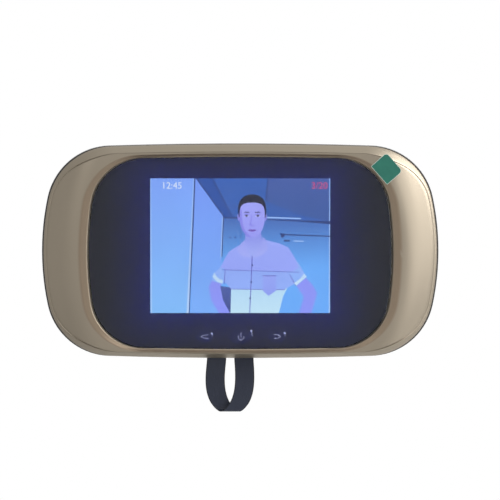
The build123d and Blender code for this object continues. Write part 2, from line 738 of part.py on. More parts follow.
def rear_cover():
    outer = cover_form(COVER_OUTLINE, REAR_FACE, COVER_EDGE_R)
    cover = outer - cover_form(shrink(BODY_OUTLINE, WALL + TONGUE_ROOT), REAR_INNER, COVER_INNER_R)
    tongue_out = shrink(BODY_OUTLINE, WALL + FIT)
    tongue = outline_slab(tongue_out, PART_LINE - TONGUE_TALL, PART_LINE + TONGUE_TALL)
    tongue -= outline_slab(shrink(tongue_out, TONGUE_THICK), PART_LINE - TONGUE_TALL, PART_LINE + TONGUE_TALL)
    for x, y in four_corners(CASE_BOSS_X, CASE_BOSS_Y):
        tongue -= rod(x, y, CASE_BOSS_R + FIT, PART_LINE, PART_LINE + TONGUE_TALL)
    cover += tongue
    cover += outer & recess_block(RECESS_WALL, RECESS_FLOOR + RECESS_WALL)
    cover += battery_bay(BAY_WALL)
    for x, y in four_corners(CASE_BOSS_X, CASE_BOSS_Y):
        cover += rod(x, y, CASE_BOSS_R, REAR_FACE, PART_LINE - FIT)
    ring_r = SPEAKER_R + SPEAKER_RING_CLEAR
    ring = rod(SPEAKER_X, 0, ring_r + SPEAKER_RING_WALL, REAR_INNER, REAR_INNER + SPEAKER_RING_TALL)
    ring -= rod(SPEAKER_X, 0, ring_r, REAR_INNER, REAR_INNER + SPEAKER_RING_TALL)
    cover += ring
    cover -= recess_block(0, RECESS_FLOOR)
    cover -= battery_bay(0)
    cover -= bay_slab(LID_REBATE, LID_CORNER_R + LID_CLEAR, REAR_FACE, REAR_FACE + LID_THICK)
    for x, y in four_corners(HOOK_X, HOOK_Y):
        cover -= hook_slot(x, y)
    for slot in speaker_grille():
        cover -= slot
    for x, y in four_corners(CASE_BOSS_X, CASE_BOSS_Y):
        cover -= rod(x, y, CASE_SCREW_R + FIT, REAR_FACE, PART_LINE)
        cover -= rod(x, y, CASE_HEAD_R + FIT, REAR_FACE, REAR_FACE + CASE_HEAD_THICK)
    cover -= connector_block(FIT, RECESS_FLOOR)
    cover -= usb_opening()
    cover -= card_opening()
    return cover


def usb_opening():
    half = USB_WIDE / 2 + FIT
    return block(USB_X - half, USB_X + half, -COVER_HALF_TALL - OVERRUN, USB_MOUTH_Y + USB_DEEP,
                 BOARD_BACK - USB_TALL - FIT, BOARD_BACK + FIT)


def card_opening():
    half = CARD_WIDE / 2 + GAP
    slot = CARD_THICK / 2 + GAP
    return block(CARD_X - half, CARD_X + half, -COVER_HALF_TALL - OVERRUN, -BOARD_HALF_TALL,
                 CARD_HEIGHT - slot, CARD_HEIGHT + slot)


def case_screws():
    """Four long screws from behind, heads sunk in their wells."""
    screws = []
    for x, y in four_corners(CASE_BOSS_X, CASE_BOSS_Y):
        low = REAR_FACE + GAP
        screw = rod(x, y, CASE_HEAD_R, low, REAR_FACE + CASE_HEAD_THICK)
        screw += rod(x, y, CASE_SCREW_R, REAR_FACE + CASE_HEAD_THICK, REAR_FACE + CASE_SCREW_LENGTH)
        screws.append(screw)
    return Compound(screws)


def main_board_screws():
    screws = []
    for x, y in four_corners(BOARD_POST_X, BOARD_POST_Y):
        screw = rod(x, y, BOARD_HEAD_R, BOARD_BACK - BOARD_HEAD_THICK, BOARD_BACK)
        screw += rod(x, y, BOARD_SCREW_R, BOARD_BACK, BOARD_BACK + BOARD_SCREW_LENGTH - FIT)
        screws.append(screw)
    return Compound(screws)


# Battery bay contents

def cell_places():
    """Centre across and direction of the nub for both cells."""
    return ((CELL_MID_X - CELL_PITCH / 2, 1), (CELL_MID_X + CELL_PITCH / 2, -1))


def cell_end():
    """Height along the bay where a cell's nub meets its contact."""
    return BAY_HALF_TALL - CONTACT_THICK - SPRING_GAP


def battery(x, up):
    nub_end = cell_end()
    shoulder = nub_end - CELL_NUB_TALL
    tail = shoulder - CELL_LONG
    barrel = Pos(0, 0, (shoulder + tail) / 2) * Cylinder(CELL_R, CELL_LONG)
    nub = Pos(0, 0, shoulder + CELL_NUB_TALL / 2) * Cylinder(CELL_NUB_R, CELL_NUB_TALL)
    return Pos(x, 0, CELL_HEIGHT) * Rot(-90 * up, 0, 0) * (barrel + nub)


def battery_contacts():
    """Flat contact plates at both ends of both cells."""
    plates = []
    half = CONTACT_WIDE / 2
    for x, up in cell_places():
        for end in SIDES:
            inner = end * (BAY_HALF_TALL - CONTACT_THICK)
            outer = end * BAY_HALF_TALL
            plates.append(block(x - half, x + half, min(inner, outer), max(inner, outer),
                                CELL_HEIGHT - half, CELL_HEIGHT + half))
    return Compound(plates)


def battery_springs():
    """Coil springs that press on the flat end of each cell."""
    springs = []
    length = 2 * BAY_HALF_TALL - CONTACT_THICK * 2 - SPRING_GAP * 3 - CELL_LONG - CELL_NUB_TALL
    rise = length - 2 * SPRING_WIRE_R
    path = Helix(rise / SPRING_TURNS, rise, SPRING_R)
    wire = Plane(path @ 0, z_dir=path % 0) * RegularPolygon(SPRING_WIRE_R, 6)
    coil = Pos(0, 0, SPRING_WIRE_R) * sweep(wire, path, is_frenet=True)
    for x, up in cell_places():
        foot = -up * (BAY_HALF_TALL - CONTACT_THICK - SPRING_GAP)
        springs.append(Pos(x, foot, CELL_HEIGHT) * Rot(-90 * up, 0, 0) * coil)
    return Compound(springs)


def battery_cover():
    """Flush lid with grip ribs and two clips that reach down beside the cells."""
    lid = bay_slab(LID_REBATE - LID_CLEAR, LID_CORNER_R, REAR_FACE, REAR_FACE + LID_THICK)
    first = -(LID_GRIP_RIBS - 1) / 2
    for index in range(LID_GRIP_RIBS):
        y = (first + index) * LID_GRIP_PITCH - BAY_HALF_TALL / 2
        groove = pill(CELL_MID_X, y, LID_GRIP_WIDE, LID_GRIP_RIB, REAR_FACE, REAR_FACE + LID_GRIP_RIB / 2)
        lid -= groove
    inner = REAR_FACE + LID_THICK
    clip = LID_CLIP_WIDE / 2
    for end in SIDES:
        outer_y = end * (BAY_HALF_TALL - LID_CLEAR)
        inner_y = outer_y - end * LID_CLIP_THICK
        lid += block(CELL_MID_X - clip, CELL_MID_X + clip, min(outer_y, inner_y), max(outer_y, inner_y),
                     inner, inner + LID_CLIP_DEEP)
    return lid


# Speaker

def speaker_frame():
    z = REAR_INNER + FIT
    rim = z + SPEAKER_RIM_TALL
    back = rim + SPEAKER_BASKET_TALL
    profile = [
        (SPEAKER_R - SPEAKER_RIM, z), (SPEAKER_R, z), (SPEAKER_R, rim),
        (SPEAKER_NECK_R, back), (0, back), (0, back - SPEAKER_SKIN),
        (SPEAKER_NECK_R - SPEAKER_SKIN, back - SPEAKER_SKIN), (SPEAKER_R - SPEAKER_RIM, rim - SPEAKER_SKIN),
    ]
    return Pos(SPEAKER_X, 0, 0) * turned(profile)


def speaker_magnet():
    back = REAR_INNER + FIT + SPEAKER_RIM_TALL + SPEAKER_BASKET_TALL
    return rod(SPEAKER_X, 0, MAGNET_R, back, back + MAGNET_TALL)


def speaker_cone():
    """Thin paper cone with a domed hub, just inside the basket's rim."""
    z = REAR_INNER + GAP
    skin = SPEAKER_SKIN / 2
    profile = [
        (CONE_R, z), (CONE_R, z + skin), (CONE_HUB_R, z + CONE_DEEP + skin),
        (0, z + CONE_DEEP / 2 + skin), (0, z + CONE_DEEP / 2), (CONE_HUB_R, z + CONE_DEEP),
    ]
    return Pos(SPEAKER_X, 0, 0) * turned(profile)


# Ribbon connector, latch and cable

def connector_block(grow, low):
    half = CONNECTOR_WIDE / 2 + grow
    return block(RIBBON_X - half, RIBBON_X + half, CONNECTOR_TOP_Y - CONNECTOR_LONG - grow,
                 CONNECTOR_TOP_Y + grow, low, BOARD_BACK)


def ribbon_spots():
    """The points that the strip passes through."""
    return [tuple(share * ROUTE_LONG for share in point) for point in RIBBON_ROUTE_SHARES]


def ribbon_level():
    return ribbon_spots()[-1][2]


def ribbon_connector():
    body = connector_block(0, CONNECTOR_HEIGHT)
    half = RIBBON_WIDE / 2 + FIT
    slot = CONNECTOR_SLOT / 2
    foot = CONNECTOR_TOP_Y - CONNECTOR_LONG
    body -= block(RIBBON_X - half, RIBBON_X + half, foot - OVERRUN, foot + CONNECTOR_SLOT_DEEP,
                  ribbon_level() - slot, ribbon_level() + slot)
    return body


def ribbon_latch():
    """Flap on the door side of the connector that clamps the strip."""
    half = LATCH_WIDE / 2
    foot = CONNECTOR_TOP_Y - CONNECTOR_LONG
    high = CONNECTOR_HEIGHT - LATCH_GAP
    return block(RIBBON_X - half, RIBBON_X + half, foot, foot + LATCH_LONG, high - LATCH_THICK, high)


def strip_section(before, here, after):
    """Cross-section of the strip, level across and square to its route as seen from the side."""
    run = Vector(*after) - Vector(*before)
    wide = Vector(1, 0, 0)
    thin = wide.cross(run).normalized()
    across = wide * (RIBBON_WIDE / 2)
    through = thin * (RIBBON_THICK / 2)
    middle = Vector(*here)
    corners = [middle + across + through, middle - across + through,
               middle - across - through, middle + across - through]
    return Face(Wire.make_polygon(corners))


def ribbon_loop():
    """Flat strip from the tube's mouth, down, round and up into the connector."""
    spots = ribbon_spots()
    sections = []
    for index, spot in enumerate(spots):
        before = spots[max(index - 1, 0)]
        after = spots[min(index + 1, len(spots) - 1)]
        sections.append(strip_section(before, spot, after))
    return loft(sections, ruled=True)


def ribbon_in_tube():
    """Straight stretch of the strip through the tube to the camera board."""
    half = RIBBON_WIDE / 2
    thin = RIBBON_THICK / 2
    start = -DOOR_THICK - CAMERA_BOARD_BACK
    return block(-half, half, -thin, thin, start, ribbon_spots()[0][2])


# Bracket, tube and nut

def hook(x, y):
    """Tab bent forward from the plate, with a tongue that points up."""
    half = HOOK_WIDE / 2
    low = y - HOOK_TALL
    reach = BRACKET_THICK + HOOK_REACH
    tab = block(x - half, x + half, low, low + BRACKET_THICK, 0, reach)
    tongue = block(x - half, x + half, low, y, BRACKET_THICK + HOOK_STAND, reach)
    return tab + tongue


def bracket():
    plate = tile(0, 0, 2 * BRACKET_HALF_WIDE, 2 * BRACKET_HALF_TALL, BRACKET_CORNER_R, 0, BRACKET_THICK)
    for x, y in four_corners(HOOK_X, HOOK_Y):
        plate += hook(x, y)
    plate -= rod(0, 0, TUBE_R + TUBE_HOLE_CLEAR, 0, BRACKET_THICK)
    for x, y in four_corners(SCREW_HOLE_X, SCREW_HOLE_Y):
        plate -= rod(x, y, SCREW_HOLE_R, 0, BRACKET_THICK)
    return plate


def clamp_nut():
    """Round nut with notches for a pin spanner round its front edge."""
    low = BRACKET_THICK
    high = low + NUT_THICK
    nut = rod(0, 0, NUT_R, low, high) - rod(0, 0, TUBE_R + NUT_BORE_CLEAR, low, high)
    half = NUT_NOTCH_WIDE / 2
    notch = block(NUT_R - NUT_NOTCH_DEEP, NUT_R + OVERRUN, -half, half, low, high)
    for index in range(NUT_NOTCHES):
        nut -= Rot(0, 0, index * 360 / NUT_NOTCHES) * notch
    return nut


def threaded_tube():
    flange = -DOOR_THICK - GASKET_THICK - BASE_THICK
    tube = rod(0, 0, TUBE_R, flange, TUBE_END)
    tube += rod(0, 0, TUBE_FLANGE_R, flange - TUBE_FLANGE_THICK, flange)
    return tube - rod(0, 0, TUBE_BORE_R, flange - TUBE_FLANGE_THICK, TUBE_END)


# Outdoor head, modelled with Z out from the door's outer face and then turned round

def outside(piece):
    """Places a head piece on the far side of the door, facing away from the room."""
    return Pos(0, 0, -DOOR_THICK) * Rot(0, 180, 0) * piece


def ring_places(ring_r, degrees):
    """Spots at the given angles on a circle."""
    return [(ring_r * cos(radians(angle)), ring_r * sin(radians(angle))) for angle in degrees]


def head_screw_places():
    return ring_places(HEAD_SCREW_RING, HEAD_SCREW_DEGS)


def board_post_places():
    return ring_places(BASE_POST_RING, BASE_POST_DEGS)


def gasket():
    ring = rod(0, 0, GASKET_R, 0, GASKET_THICK) - rod(0, 0, GASKET_HOLE_R, 0, GASKET_THICK)
    for x, y in head_screw_places():
        ring -= rod(x, y, HEAD_SCREW_HEAD_R + GAP, 0, GASKET_THICK)
    return outside(ring)


def outdoor_base():
    """Back plate with three posts for the camera board."""
    low = GASKET_THICK
    high = low + BASE_THICK
    base = rod(0, 0, BASE_R, low, high)
    for x, y in board_post_places():
        base += rod(x, y, BASE_POST_R, high, CAMERA_BOARD_BACK)
    base -= rod(0, 0, TUBE_R + TUBE_HOLE_CLEAR, low, high)
    for x, y in head_screw_places():
        base -= rod(x, y, HEAD_SCREW_R + FIT, low, high)
        base -= rod(x, y, HEAD_SCREW_HEAD_R + FIT, low, low + BASE_THICK / 2)
    for x, y in board_post_places():
        base -= rod(x, y, BOARD_SCREW_R + FIT, high, CAMERA_BOARD_BACK)
    return outside(base)


def face_back():
    return HEAD_DEEP - FACE_RECESS - FACE_THICK


def outdoor_housing():
    """Turned cup with a tapered side, rounded rim and a ledge for the face."""
    side = [(0, GASKET_THICK), (HEAD_R, GASKET_THICK), (HEAD_TOP_R, HEAD_DEEP), (0, HEAD_DEEP)]
    cup = turned(side)
    cup = fillet(cup.edges().filter_by_position(Axis.Z, HEAD_DEEP, HEAD_DEEP), HEAD_EDGE_R)
    inner_top = face_back() - FACE_LEDGE_THICK
    inner = [(0, 0), (HEAD_R - HEAD_WALL, 0), (HEAD_TOP_R - HEAD_WALL, inner_top), (0, inner_top)]
    cup -= turned(inner)
    cup -= rod(0, 0, FACE_R + FIT, face_back(), HEAD_DEEP + OVERRUN)
    cup -= rod(0, 0, FACE_R - FACE_LEDGE, inner_top, face_back())
    for x, y in head_screw_places():
        boss = rod(x, y, HEAD_BOSS_R, GASKET_THICK + BASE_THICK, HEAD_BOSS_TOP)
        cup += boss - rod(x, y, HEAD_SCREW_R, GASKET_THICK, GASKET_THICK + HEAD_SCREW_LENGTH + GAP)
    return outside(cup)


def outdoor_face():
    low = face_back()
    face = rod(0, 0, FACE_R, low, low + FACE_THICK)
    face -= rod(0, LENS_Y, LENS_HOLE_R, low, low + FACE_THICK)
    face -= rod(0, BELL_Y, BELL_R + BELL_CLEAR, low, low + FACE_THICK)
    return outside(face)


def lens_ring():
    """Bevelled ring on the face round the lens."""
    low = HEAD_DEEP - FACE_RECESS
    high = low + LENS_RING_TALL
    profile = [(LENS_HOLE_R, low), (LENS_RING_R, low), (LENS_RING_R - LENS_RING_TALL / 2, high),
               (LENS_HOLE_R, high)]
    return outside(Pos(0, LENS_Y, 0) * turned(profile))


def lens_barrel():
    """Square holder on the board and the round barrel that it carries."""
    low = CAMERA_BOARD_BACK + CAMERA_BOARD_THICK
    half = HOLDER_SIZE / 2
    barrel = block(-half, half, LENS_Y - half, LENS_Y + half, low, low + HOLDER_TALL)
    barrel += rod(0, LENS_Y, BARREL_R, low + HOLDER_TALL, BARREL_TOP)
    barrel -= rod(0, LENS_Y, BARREL_R - BARREL_WALL, low + HOLDER_TALL / 2, BARREL_TOP)
    room = SENSOR_SIZE / 2 + FIT
    barrel -= block(-room, room, LENS_Y - room, LENS_Y + room, low, low + HOLDER_TALL / 2)
    return outside(barrel)


def lens_front():
    """Domed front glass seated in the barrel's mouth."""
    radius = BARREL_R - BARREL_WALL - FIT
    ball = (radius ** 2 + LENS_CAP_TALL ** 2) / (2 * LENS_CAP_TALL)
    low = BARREL_TOP - LENS_PLATE_THICK
    glass = rod(0, LENS_Y, radius, low, BARREL_TOP)
    dome = Pos(0, LENS_Y, BARREL_TOP + LENS_CAP_TALL - ball) * Sphere(ball)
    glass += dome & rod(0, LENS_Y, radius, BARREL_TOP, BARREL_TOP + LENS_CAP_TALL)
    return outside(glass)


def lens_elements():
    """Two inner glasses in the barrel."""
    radius = BARREL_R - BARREL_WALL - FIT
    low = CAMERA_BOARD_BACK + CAMERA_BOARD_THICK + HOLDER_TALL / 2
    first = rod(0, LENS_Y, radius, low + FIT, low + LENS_PLATE_THICK)
    second_low = low + 2 * LENS_PLATE_THICK
    second = rod(0, LENS_Y, radius, second_low, second_low + LENS_PLATE_THICK)
    return outside(Compound([first, second]))


def image_sensor():
    half = SENSOR_SIZE / 2
    low = CAMERA_BOARD_BACK + CAMERA_BOARD_THICK
    return outside(block(-half, half, LENS_Y - half, LENS_Y + half, low, low + SENSOR_TALL))


def camera_board():
    low = CAMERA_BOARD_BACK
    high = low + CAMERA_BOARD_THICK
    board = rod(0, 0, CAMERA_BOARD_R, low, high)
    for x, y in board_post_places():
        board -= rod(x, y, BOARD_SCREW_R + FIT, low, high)
    return outside(board)


def camera_board_screws():
    top = CAMERA_BOARD_BACK + CAMERA_BOARD_THICK
    screws = []
    for x, y in board_post_places():
        screw = rod(x, y, BOARD_HEAD_R, top, top + BOARD_HEAD_THICK)
        screw += rod(x, y, BOARD_SCREW_R, top - BOARD_SCREW_LENGTH, top)
        screws.append(screw)
    return outside(Compound(screws))


def lamp(x, y):
    """Round lamp body with a collar and a domed tip just behind the face."""
    low = CAMERA_BOARD_BACK + CAMERA_BOARD_THICK
    tip = face_back() - GAP
    body = rod(x, y, LED_R, low, tip - LED_R)
    body += Pos(x, y, tip - LED_R) * Sphere(LED_R)
    return body + rod(x, y, LED_BASE_R, low, low + LED_BASE_TALL)


def infrared_leds():
    lamps = []
    for index in range(LED_COUNT):
        angle = radians(index * LED_STEP_DEG)
        lamps.append(lamp(LED_RING * cos(angle), LENS_Y + LED_RING * sin(angle)))
    return outside(Compound(lamps))


def light_sensor():
    return outside(lamp(LIGHT_SENSOR_X, LIGHT_SENSOR_Y))


def bell_switch_top():
    return CAMERA_BOARD_BACK + CAMERA_BOARD_THICK + BELL_SWITCH_TALL + BELL_SWITCH_BUTTON_TALL


def bell_switch():
    half = BELL_SWITCH_SIZE / 2
    low = CAMERA_BOARD_BACK + CAMERA_BOARD_THICK
    switch = block(-half, half, BELL_Y - half, BELL_Y + half, low, low + BELL_SWITCH_TALL)
    switch += rod(0, BELL_Y, BELL_SWITCH_BUTTON_R, low + BELL_SWITCH_TALL, bell_switch_top())
    return outside(switch)


def bell_button():
    """Dished cap through the face, with a flange behind it and a stem."""
    flange_top = face_back() - FIT / 2
    top = HEAD_DEEP - FACE_RECESS + BELL_PROUD
    cap = rod(0, BELL_Y, BELL_R, flange_top, top)
    cap = fillet(cap.edges().filter_by_position(Axis.Z, top, top), BELL_PROUD / 2)
    cap -= Pos(0, BELL_Y, top + BELL_DISH_R - BELL_PROUD / 2) * Sphere(BELL_DISH_R)
    cap += rod(0, BELL_Y, BELL_FLANGE_R, flange_top - BELL_FLANGE_THICK, flange_top)
    cap += rod(0, BELL_Y, BELL_STEM_R, bell_switch_top() + BELL_TRAVEL + FIT, flange_top - BELL_FLANGE_THICK)
    return outside(cap)


def outdoor_screws():
    """Three screws from the back plate into the housing's bosses."""
    low = GASKET_THICK
    screws = []
    for x, y in head_screw_places():
        screw = rod(x, y, HEAD_SCREW_HEAD_R, low, low + BASE_THICK / 2)
        screw += rod(x, y, HEAD_SCREW_R - FIT, low + BASE_THICK / 2, low + HEAD_SCREW_LENGTH)
        screws.append(screw)
    return outside(Compound(screws))


def pieces():
    """Every sub-part by its node name, in the bench frame."""
    parts = {
        "front_frame": front_frame(),
        "front_panel": front_panel(),
        "protective_film": protective_film(),
        "film_pull_tab": film_pull_tab(),
        "lcd_frame": lcd_frame(),
        "lcd_glass": lcd_glass(),
        "backlight_unit": backlight_unit(),
        "main_board": main_board(),
        "board_chips": board_chips(),
        "main_board_screws": main_board_screws(),
        "key_switches": key_switches(),
        "usb_socket": usb_socket(),
        "card_socket": card_socket(),
        "memory_card": memory_card(),
        "ribbon_connector": ribbon_connector(),
        "ribbon_latch": ribbon_latch(),
        "rear_cover": rear_cover(),
        "case_screws": case_screws(),
        "battery_contacts": battery_contacts(),
        "battery_springs": battery_springs(),
        "battery_cover": battery_cover(),
        "speaker_frame": speaker_frame(),
        "speaker_cone": speaker_cone(),
        "speaker_magnet": speaker_magnet(),
        "ribbon_loop": ribbon_loop(),
        "ribbon_in_tube": ribbon_in_tube(),
        "bracket": bracket(),
        "clamp_nut": clamp_nut(),
        "threaded_tube": threaded_tube(),
        "gasket": gasket(),
        "outdoor_base": outdoor_base(),
        "outdoor_housing": outdoor_housing(),
        "outdoor_face": outdoor_face(),
        "lens_ring": lens_ring(),
        "lens_barrel": lens_barrel(),
        "lens_front": lens_front(),
        "lens_elements": lens_elements(),
        "image_sensor": image_sensor(),
        "camera_board": camera_board(),
        "camera_board_screws": camera_board_screws(),
        "infrared_leds": infrared_leds(),
        "light_sensor": light_sensor(),
        "bell_switch": bell_switch(),
        "bell_button": bell_button(),
        "outdoor_screws": outdoor_screws(),
    }
    for name, x, long, wide in key_sizes():
        parts[name] = key_cap(x, long, wide)
    for index, (x, up) in enumerate(cell_places(), start=1):
        parts[f"battery_{index}"] = battery(x, up)
    return parts


def main():
    os.makedirs("parts", exist_ok=True)
    for name, piece in pieces().items():
        export_step(Rot(90, 0, 0) * piece, f"parts/{name}.step")
    spots = ribbon_spots()
    steps = [Vector(*low) - Vector(*high) for low, high in zip(spots, spots[1:])]
    print("ribbon loop length", round(sum(step.length for step in steps), 1))


main()
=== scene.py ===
import bpy
import bmesh
import json
from math import atan2, cos, hypot, pi, radians, sin, sqrt, tan
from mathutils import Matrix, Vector

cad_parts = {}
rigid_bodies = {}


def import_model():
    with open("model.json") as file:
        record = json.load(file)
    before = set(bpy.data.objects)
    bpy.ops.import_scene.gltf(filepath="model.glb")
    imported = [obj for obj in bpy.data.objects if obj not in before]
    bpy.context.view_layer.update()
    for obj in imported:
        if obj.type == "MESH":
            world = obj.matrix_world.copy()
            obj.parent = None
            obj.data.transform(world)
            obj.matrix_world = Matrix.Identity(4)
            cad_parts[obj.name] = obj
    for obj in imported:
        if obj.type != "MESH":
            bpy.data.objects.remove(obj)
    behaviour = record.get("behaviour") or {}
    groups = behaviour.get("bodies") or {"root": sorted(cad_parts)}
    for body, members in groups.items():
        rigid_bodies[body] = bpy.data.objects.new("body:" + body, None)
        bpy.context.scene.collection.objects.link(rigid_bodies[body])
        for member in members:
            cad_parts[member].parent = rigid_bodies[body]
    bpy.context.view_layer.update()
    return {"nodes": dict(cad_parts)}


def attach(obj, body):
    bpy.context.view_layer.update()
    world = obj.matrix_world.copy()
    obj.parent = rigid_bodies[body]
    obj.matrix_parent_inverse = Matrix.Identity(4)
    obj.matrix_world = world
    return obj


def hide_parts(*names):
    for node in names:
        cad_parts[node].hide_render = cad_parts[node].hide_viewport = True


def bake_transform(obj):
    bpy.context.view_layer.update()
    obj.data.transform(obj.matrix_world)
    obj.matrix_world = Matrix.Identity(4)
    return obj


for leftover in list(bpy.data.objects):
    bpy.data.objects.remove(leftover)
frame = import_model()

# Bracket: a pressed plate of zinc plated steel with four hooks.
# It lies flat on the door's inner face and carries the screen unit.


def tone(red, green, blue):
    """A colour written as on a screen, 0 to 255, turned into light values."""
    shares = [value / 255 for value in (red, green, blue)]
    light = [v / 12.92 if v <= 0.04045 else ((v + 0.055) / 1.055) ** 2.4 for v in shares]
    return (*light, 1.0)


def effect_group(name, inputs, outputs):
    """An empty effect with named sockets, and the sockets at its entry and exit."""
    tree = bpy.data.node_groups.new(name, "ShaderNodeTree")
    for label, kind, value in inputs:
        tree.interface.new_socket(label, in_out="INPUT", socket_type=kind).default_value = value
    for label, kind in outputs:
        tree.interface.new_socket(label, in_out="OUTPUT", socket_type=kind)
    return tree, tree.nodes.new("NodeGroupInput").outputs, tree.nodes.new("NodeGroupOutput").inputs


def add_node(tree, kind, inputs, **settings):
    """The outputs of a new node, whose inputs get plain values or links from other outputs."""
    node = tree.nodes.new(f"ShaderNode{kind}")
    for label, value in settings.items():
        setattr(node, label, value)
    for place, source in inputs.items():
        if isinstance(source, bpy.types.NodeSocket):
            tree.links.new(source, node.inputs[place])
        else:
            node.inputs[place].default_value = source
    return node.outputs


def mixed(tree, share, first, second):
    """A colour that goes from the first to the second with the share."""
    return add_node(tree, "Mix", {"Factor": share, "A": first, "B": second}, data_type="RGBA")["Result"]


def reckoned(tree, operation, *values):
    """What a sum gives on plain values and outputs."""
    return add_node(tree, "Math", dict(enumerate(values)), operation=operation)[0]


def on_piece(tree):
    """The place on the piece, in metres."""
    return add_node(tree, "TexCoord", {})["Object"]


COLOUR, NUMBER, ARROW = "NodeSocketColor", "NodeSocketFloat", "NodeSocketVector"


def surface_effect():
    """Slow drifts of tone and gloss, and a fine grain, over any moulded or metal piece."""
    tree, start, end = effect_group("surface", [
        ("Colour", COLOUR, tone(128, 128, 128)), ("Other Colour", COLOUR, tone(128, 128, 128)),
        ("Patch Scale", NUMBER, 60.0), ("Roughness", NUMBER, 0.4), ("Roughness Spread", NUMBER, 0.05),
        ("Grain Scale", NUMBER, 900.0), ("Grain Depth", NUMBER, 0.00001)],
        [("Colour", COLOUR), ("Roughness", NUMBER), ("Normal", ARROW)])
    place = on_piece(tree)
    patch = add_node(tree, "TexNoise", {"Vector": place, "Scale": start["Patch Scale"], "Detail": 3.0})["Fac"]
    grain = add_node(tree, "TexNoise", {"Vector": place, "Scale": start["Grain Scale"], "Detail": 2.0})["Fac"]
    rough = reckoned(tree, "MULTIPLY_ADD", grain, start["Roughness Spread"], start["Roughness"])
    relief = add_node(tree, "Bump", {"Strength": 1.0, "Height": grain, "Distance": start["Grain Depth"]})
    tree.links.new(mixed(tree, patch, start["Colour"], start["Other Colour"]), end["Colour"])
    tree.links.new(rough, end["Roughness"])
    tree.links.new(relief["Normal"], end["Normal"])
    return tree


SURFACE = surface_effect()


def finish(name, colour, other, rough, spread=0.06, patch=60.0, grain=900.0, depth=0.00001, fixed=None):
    """A material whose tone, gloss and grain drift a little over the piece."""
    material = bpy.data.materials.new(name)
    material.use_nodes = True
    tree = material.node_tree
    shader = tree.nodes["Principled BSDF"].inputs
    surface = add_node(tree, "Group", {
        "Colour": tone(*colour), "Other Colour": tone(*other), "Patch Scale": patch, "Roughness": rough,
        "Roughness Spread": spread, "Grain Scale": grain, "Grain Depth": depth}, node_tree=SURFACE)
    for label, socket in (("Colour", "Base Color"), ("Roughness", "Roughness"), ("Normal", "Normal")):
        tree.links.new(surface[label], shader[socket])
    for socket, value in (fixed or {}).items():
        shader[socket].default_value = value
    return material


METAL = {"Metallic": 1.0}


def dress(material, *nodes):
    """Puts a finish on pieces that keep their machined shape."""
    for node in nodes:
        for held in frame["nodes"][node].material_slots:
            held.material = material


dress(finish("zinc_steel", (176, 180, 184), (150, 156, 164), 0.34, patch=160.0, grain=1500.0,
             fixed=METAL), "bracket")

# Threaded tube and clamp nut: a hollow tube of satin zinc goes through the door.
# Its thread is rolled on the outside, and the notched nut draws it tight on the bracket.

MM = 0.001
TUBE_R = 7.0
TUBE_BORE_R = 5.0
TUBE_END = 4.8
TUBE_CHAMFER = 0.5
THREAD_PITCH = 1.0
THREAD_DEEP = 0.55
THREAD_ROUND = 48
THREAD_STEPS = 5
FLANGE_R = 10.5
FLANGE_TOP = -43.0
FLANGE_LOW = -44.4
FLANGE_CHAMFER = 0.3


def at(across, up, out):
    """A spot as seen from the room: millimetres to the right, up, and out from the door."""
    return Vector((across, -out, up)) * MM


def placed(name, data):
    """A new object in the scene."""
    thing = bpy.data.objects.new(name, data)
    bpy.context.scene.collection.objects.link(thing)
    return thing


def build(name, spots, faces, material, body, stands_for=(), slot=None, sharp=32.0):
    """A piece from its spots and faces, smooth but for its sharp edges, riding on a body."""
    mesh = bpy.data.meshes.new(name)
    mesh.from_pydata(spots, [], faces)
    form = bmesh.new()
    form.from_mesh(mesh)
    bmesh.ops.remove_doubles(form, verts=form.verts, dist=0.0000005)
    bmesh.ops.recalc_face_normals(form, faces=form.faces)
    form.to_mesh(mesh)
    form.free()
    mesh.shade_smooth()
    mesh.set_sharp_from_angle(angle=radians(sharp))
    mesh.materials.append(material)
    piece = placed(name, mesh)
    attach(piece, body)
    if stands_for:
        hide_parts(*stands_for)
    return piece


def skin(rings, wrap=False):
    """Spots and faces of rings of equal count, one after the other, joined all round."""
    count = len(rings[0])
    spots = [spot for ring in rings for spot in ring]
    faces = []
    for ring in range(len(rings) if wrap else len(rings) - 1):
        low = ring * count
        high = (ring + 1) % len(rings) * count
        for step in range(count):
            after = (step + 1) % count
            faces.append((low + step, low + after, high + after, high + step))
    return spots, faces


def circle(radius, out):
    """Spots of a circle that faces the door; the radius is a number or a rule for each share of a turn."""
    ring = []
    for share in [step / THREAD_ROUND for step in range(THREAD_ROUND)]:
        here = radius(share) if callable(radius) else radius
        ring.append(at(here * cos(2 * pi * share), here * sin(2 * pi * share), out))
    return ring


def thread_ring(out):
    """One ring of the tube's outside, its radius following the thread's helix."""
    return circle(lambda share: TUBE_R - THREAD_DEEP * abs(2 * ((out / THREAD_PITCH - share) % 1.0) - 1), out)


def threaded_tube():
    """Rings from the inner mouth over the thread and the flange to the outer mouth."""
    root_r = TUBE_R - THREAD_DEEP
    rings = [circle(TUBE_BORE_R, TUBE_END - TUBE_CHAMFER), circle(TUBE_BORE_R + TUBE_CHAMFER, TUBE_END),
             circle(root_r, TUBE_END)]
    steps = round((TUBE_END - FLANGE_TOP) / THREAD_PITCH * THREAD_STEPS)
    rings += [thread_ring(TUBE_END - step * THREAD_PITCH / THREAD_STEPS) for step in range(1, steps)]
    rings += [circle(root_r, FLANGE_TOP), circle(FLANGE_R - FLANGE_CHAMFER, FLANGE_TOP),
              circle(FLANGE_R, FLANGE_TOP - FLANGE_CHAMFER), circle(FLANGE_R, FLANGE_LOW),
              circle(TUBE_BORE_R, FLANGE_LOW)]
    return skin(rings, wrap=True)


SATIN_ZINC = finish("satin_zinc", (188, 186, 180), (160, 158, 152), 0.3, patch=90.0, grain=2200.0,
                    fixed=METAL)
build("tube_with_thread", *threaded_tube(), SATIN_ZINC, "door_unit", ["threaded_tube"], "zinc_satin")
dress(SATIN_ZINC, "clamp_nut")

